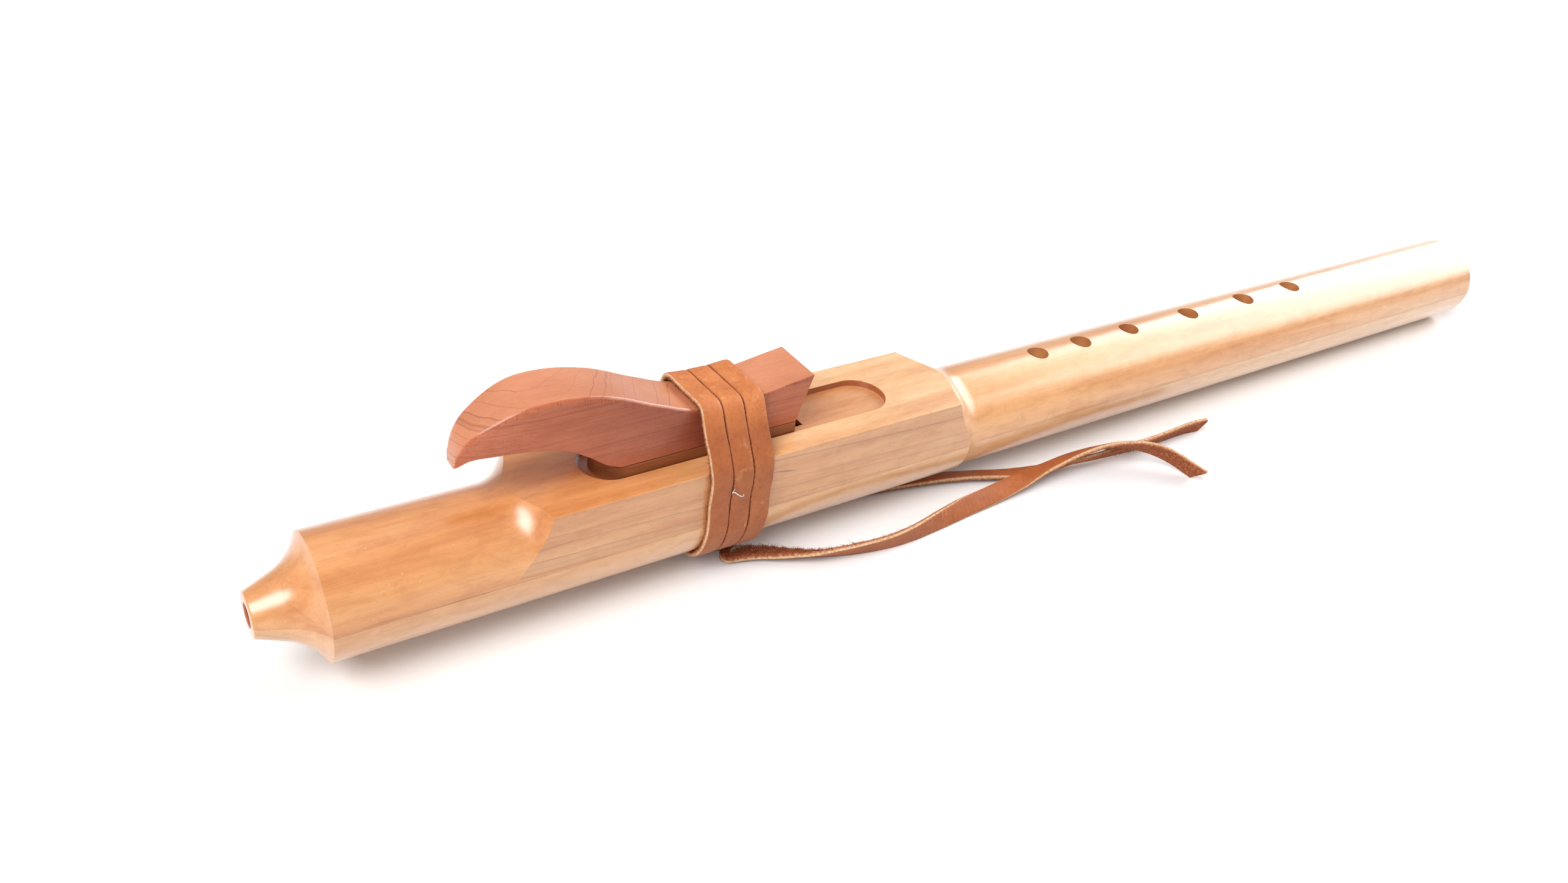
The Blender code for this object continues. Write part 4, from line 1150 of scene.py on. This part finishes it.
make_fibres("fluff", 8, 70, fluff_roots, 0.0011, share="cut")

# The knot is where the lace's two ends cross and turn back under the block. It is pressed flat, and the flute
# stands on it. Each end comes down from between the turns, and goes on as one of the free tails.
knot_thickness = 0.0013
knot_ends = [
    (
        "knot_lower_end",
        [
            (-0.1297, 0.0128, 0.0082, 0),
            (-0.1289, 0.0100, 0.0042, 0),
            (-0.1268, 0.0055, 0.0015, 0),
            (-0.1240, 0.0010, 0.0008, 0),
            (-0.1207, -0.0014, 0.0009, 0),
            (-0.1170, -0.0034, 0.0011, 0),
        ],
    ),
    (
        "knot_upper_end",
        [
            (-0.1272, -0.0084, 0.0052, 0),
            (-0.1267, -0.0062, 0.0036, 0),
            (-0.1256, -0.0034, 0.0026, 0),
            (-0.1240, -0.0006, 0.0022, 0),
            (-0.1205, 0.0022, 0.0021, 0),
            (-0.1182, 0.0031, 0.0017, 0),
            (-0.1160, 0.0034, 0.0013, 0),
        ],
    ),
]
# Both cut edges of the knot are painted dark, as painted shade under the block.
shares = lace_section(0.0, 0.0)
for name, route in knot_ends:
    rings = []
    for centre, along, to_edge, to_grain, run in tail_frames(route):
        ring = []
        for across, through, _, _ in shares:
            point = centre + to_edge * across * lace_width * 0.49 + to_grain * through * knot_thickness / 2
            point.z = max(point.z, floor_height(point.x))
            ring.append(point)
        rings.append(ring)
    piece = lace_mesh(name, rings, shares, closed=False)
    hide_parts("lace_knot")
    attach(piece, "tied_block")

# The stage is a white sheet, and two large soft lamps light the flute from above.
# The sheet leans as the flute does when it rests on its knot and its foot end.
bpy.ops.mesh.primitive_plane_add(size=6.0, location=(0, 0, 0))
floor = bpy.context.object
floor.name = "floor"
bpy.ops.object.mode_set(mode="EDIT")
mesh_data = bmesh.from_edit_mesh(floor.data)
for vertex in mesh_data.verts:
    vertex.co.z = floor_height(vertex.co.x)
bmesh.update_edit_mesh(floor.data)
bpy.ops.object.mode_set(mode="OBJECT")
floor_material, tree, shader, where = new_material("floor_white", 0.8)
rays = tree.nodes.new("ShaderNodeLightPath")
tree.links.new(
    mixed(tree, rays.outputs["Is Diffuse Ray"], (0.93, 0.93, 0.93), (0.68, 0.68, 0.68)), shader.inputs["Base Color"]
)
white = tree.nodes.new("ShaderNodeEmission")
shown = tree.nodes.new("ShaderNodeMixShader")
from_flute = tree.nodes.new("ShaderNodeVectorMath")
from_flute.operation = "LENGTH"
tree.links.new(where, from_flute.inputs[0])
glow = sum_of(tree, "MULTIPLY", share_between(tree, from_flute.outputs["Value"], 0.35, 1.2), 0.95)
tree.links.new(sum_of(tree, "MULTIPLY", rays.outputs["Is Camera Ray"], sum_of(tree, "ADD", glow, 0.05)), shown.inputs["Fac"])
tree.links.new(shader.outputs["BSDF"], shown.inputs[1])
tree.links.new(white.outputs["Emission"], shown.inputs[2])
tree.links.new(shown.outputs["Shader"], tree.nodes["Material Output"].inputs["Surface"])
floor.data.materials.append(floor_material)
world = bpy.data.worlds.new("world")
world.use_nodes = True
tree = world.node_tree
tree.nodes["Background"].inputs["Color"].default_value = (1, 1, 1, 1)
rays = tree.nodes.new("ShaderNodeLightPath")
brightness = share_between(tree, rays.outputs["Is Camera Ray"], -0.282, 1.0)
brightness = sum_of(tree, "ADD", brightness, sum_of(tree, "MULTIPLY", rays.outputs["Is Glossy Ray"], 0.25))
tree.links.new(brightness, tree.nodes["Background"].inputs["Strength"])
scene.world = world
lamp_distance = 2.5
for name, azimuth, elevation, width, height, power in (
    ("window", -155, 48, 1.5, 1.35, 60.0),
    ("backdrop", 2, 29, 3.0, 1.4, 61.0),
    ("overhead", 95, 74, 2.6, 1.5, 6.0),
):
    lamp_data = bpy.data.lights.new(name, "AREA")
    lamp_data.shape = "RECTANGLE"
    lamp_data.size = width
    lamp_data.size_y = height
    lamp_data.energy = power
    lamp = bpy.data.objects.new(name, lamp_data)
    across, up = math.radians(azimuth), math.radians(elevation)
    towards = Vector((math.cos(across) * math.cos(up), math.sin(across) * math.cos(up), math.sin(up)))
    lamp.location = towards * lamp_distance
    lamp.rotation_euler = (-towards).to_track_quat("-Z", "Y").to_euler()
    scene.collection.objects.link(lamp)
scene.view_settings.view_transform = "Standard"
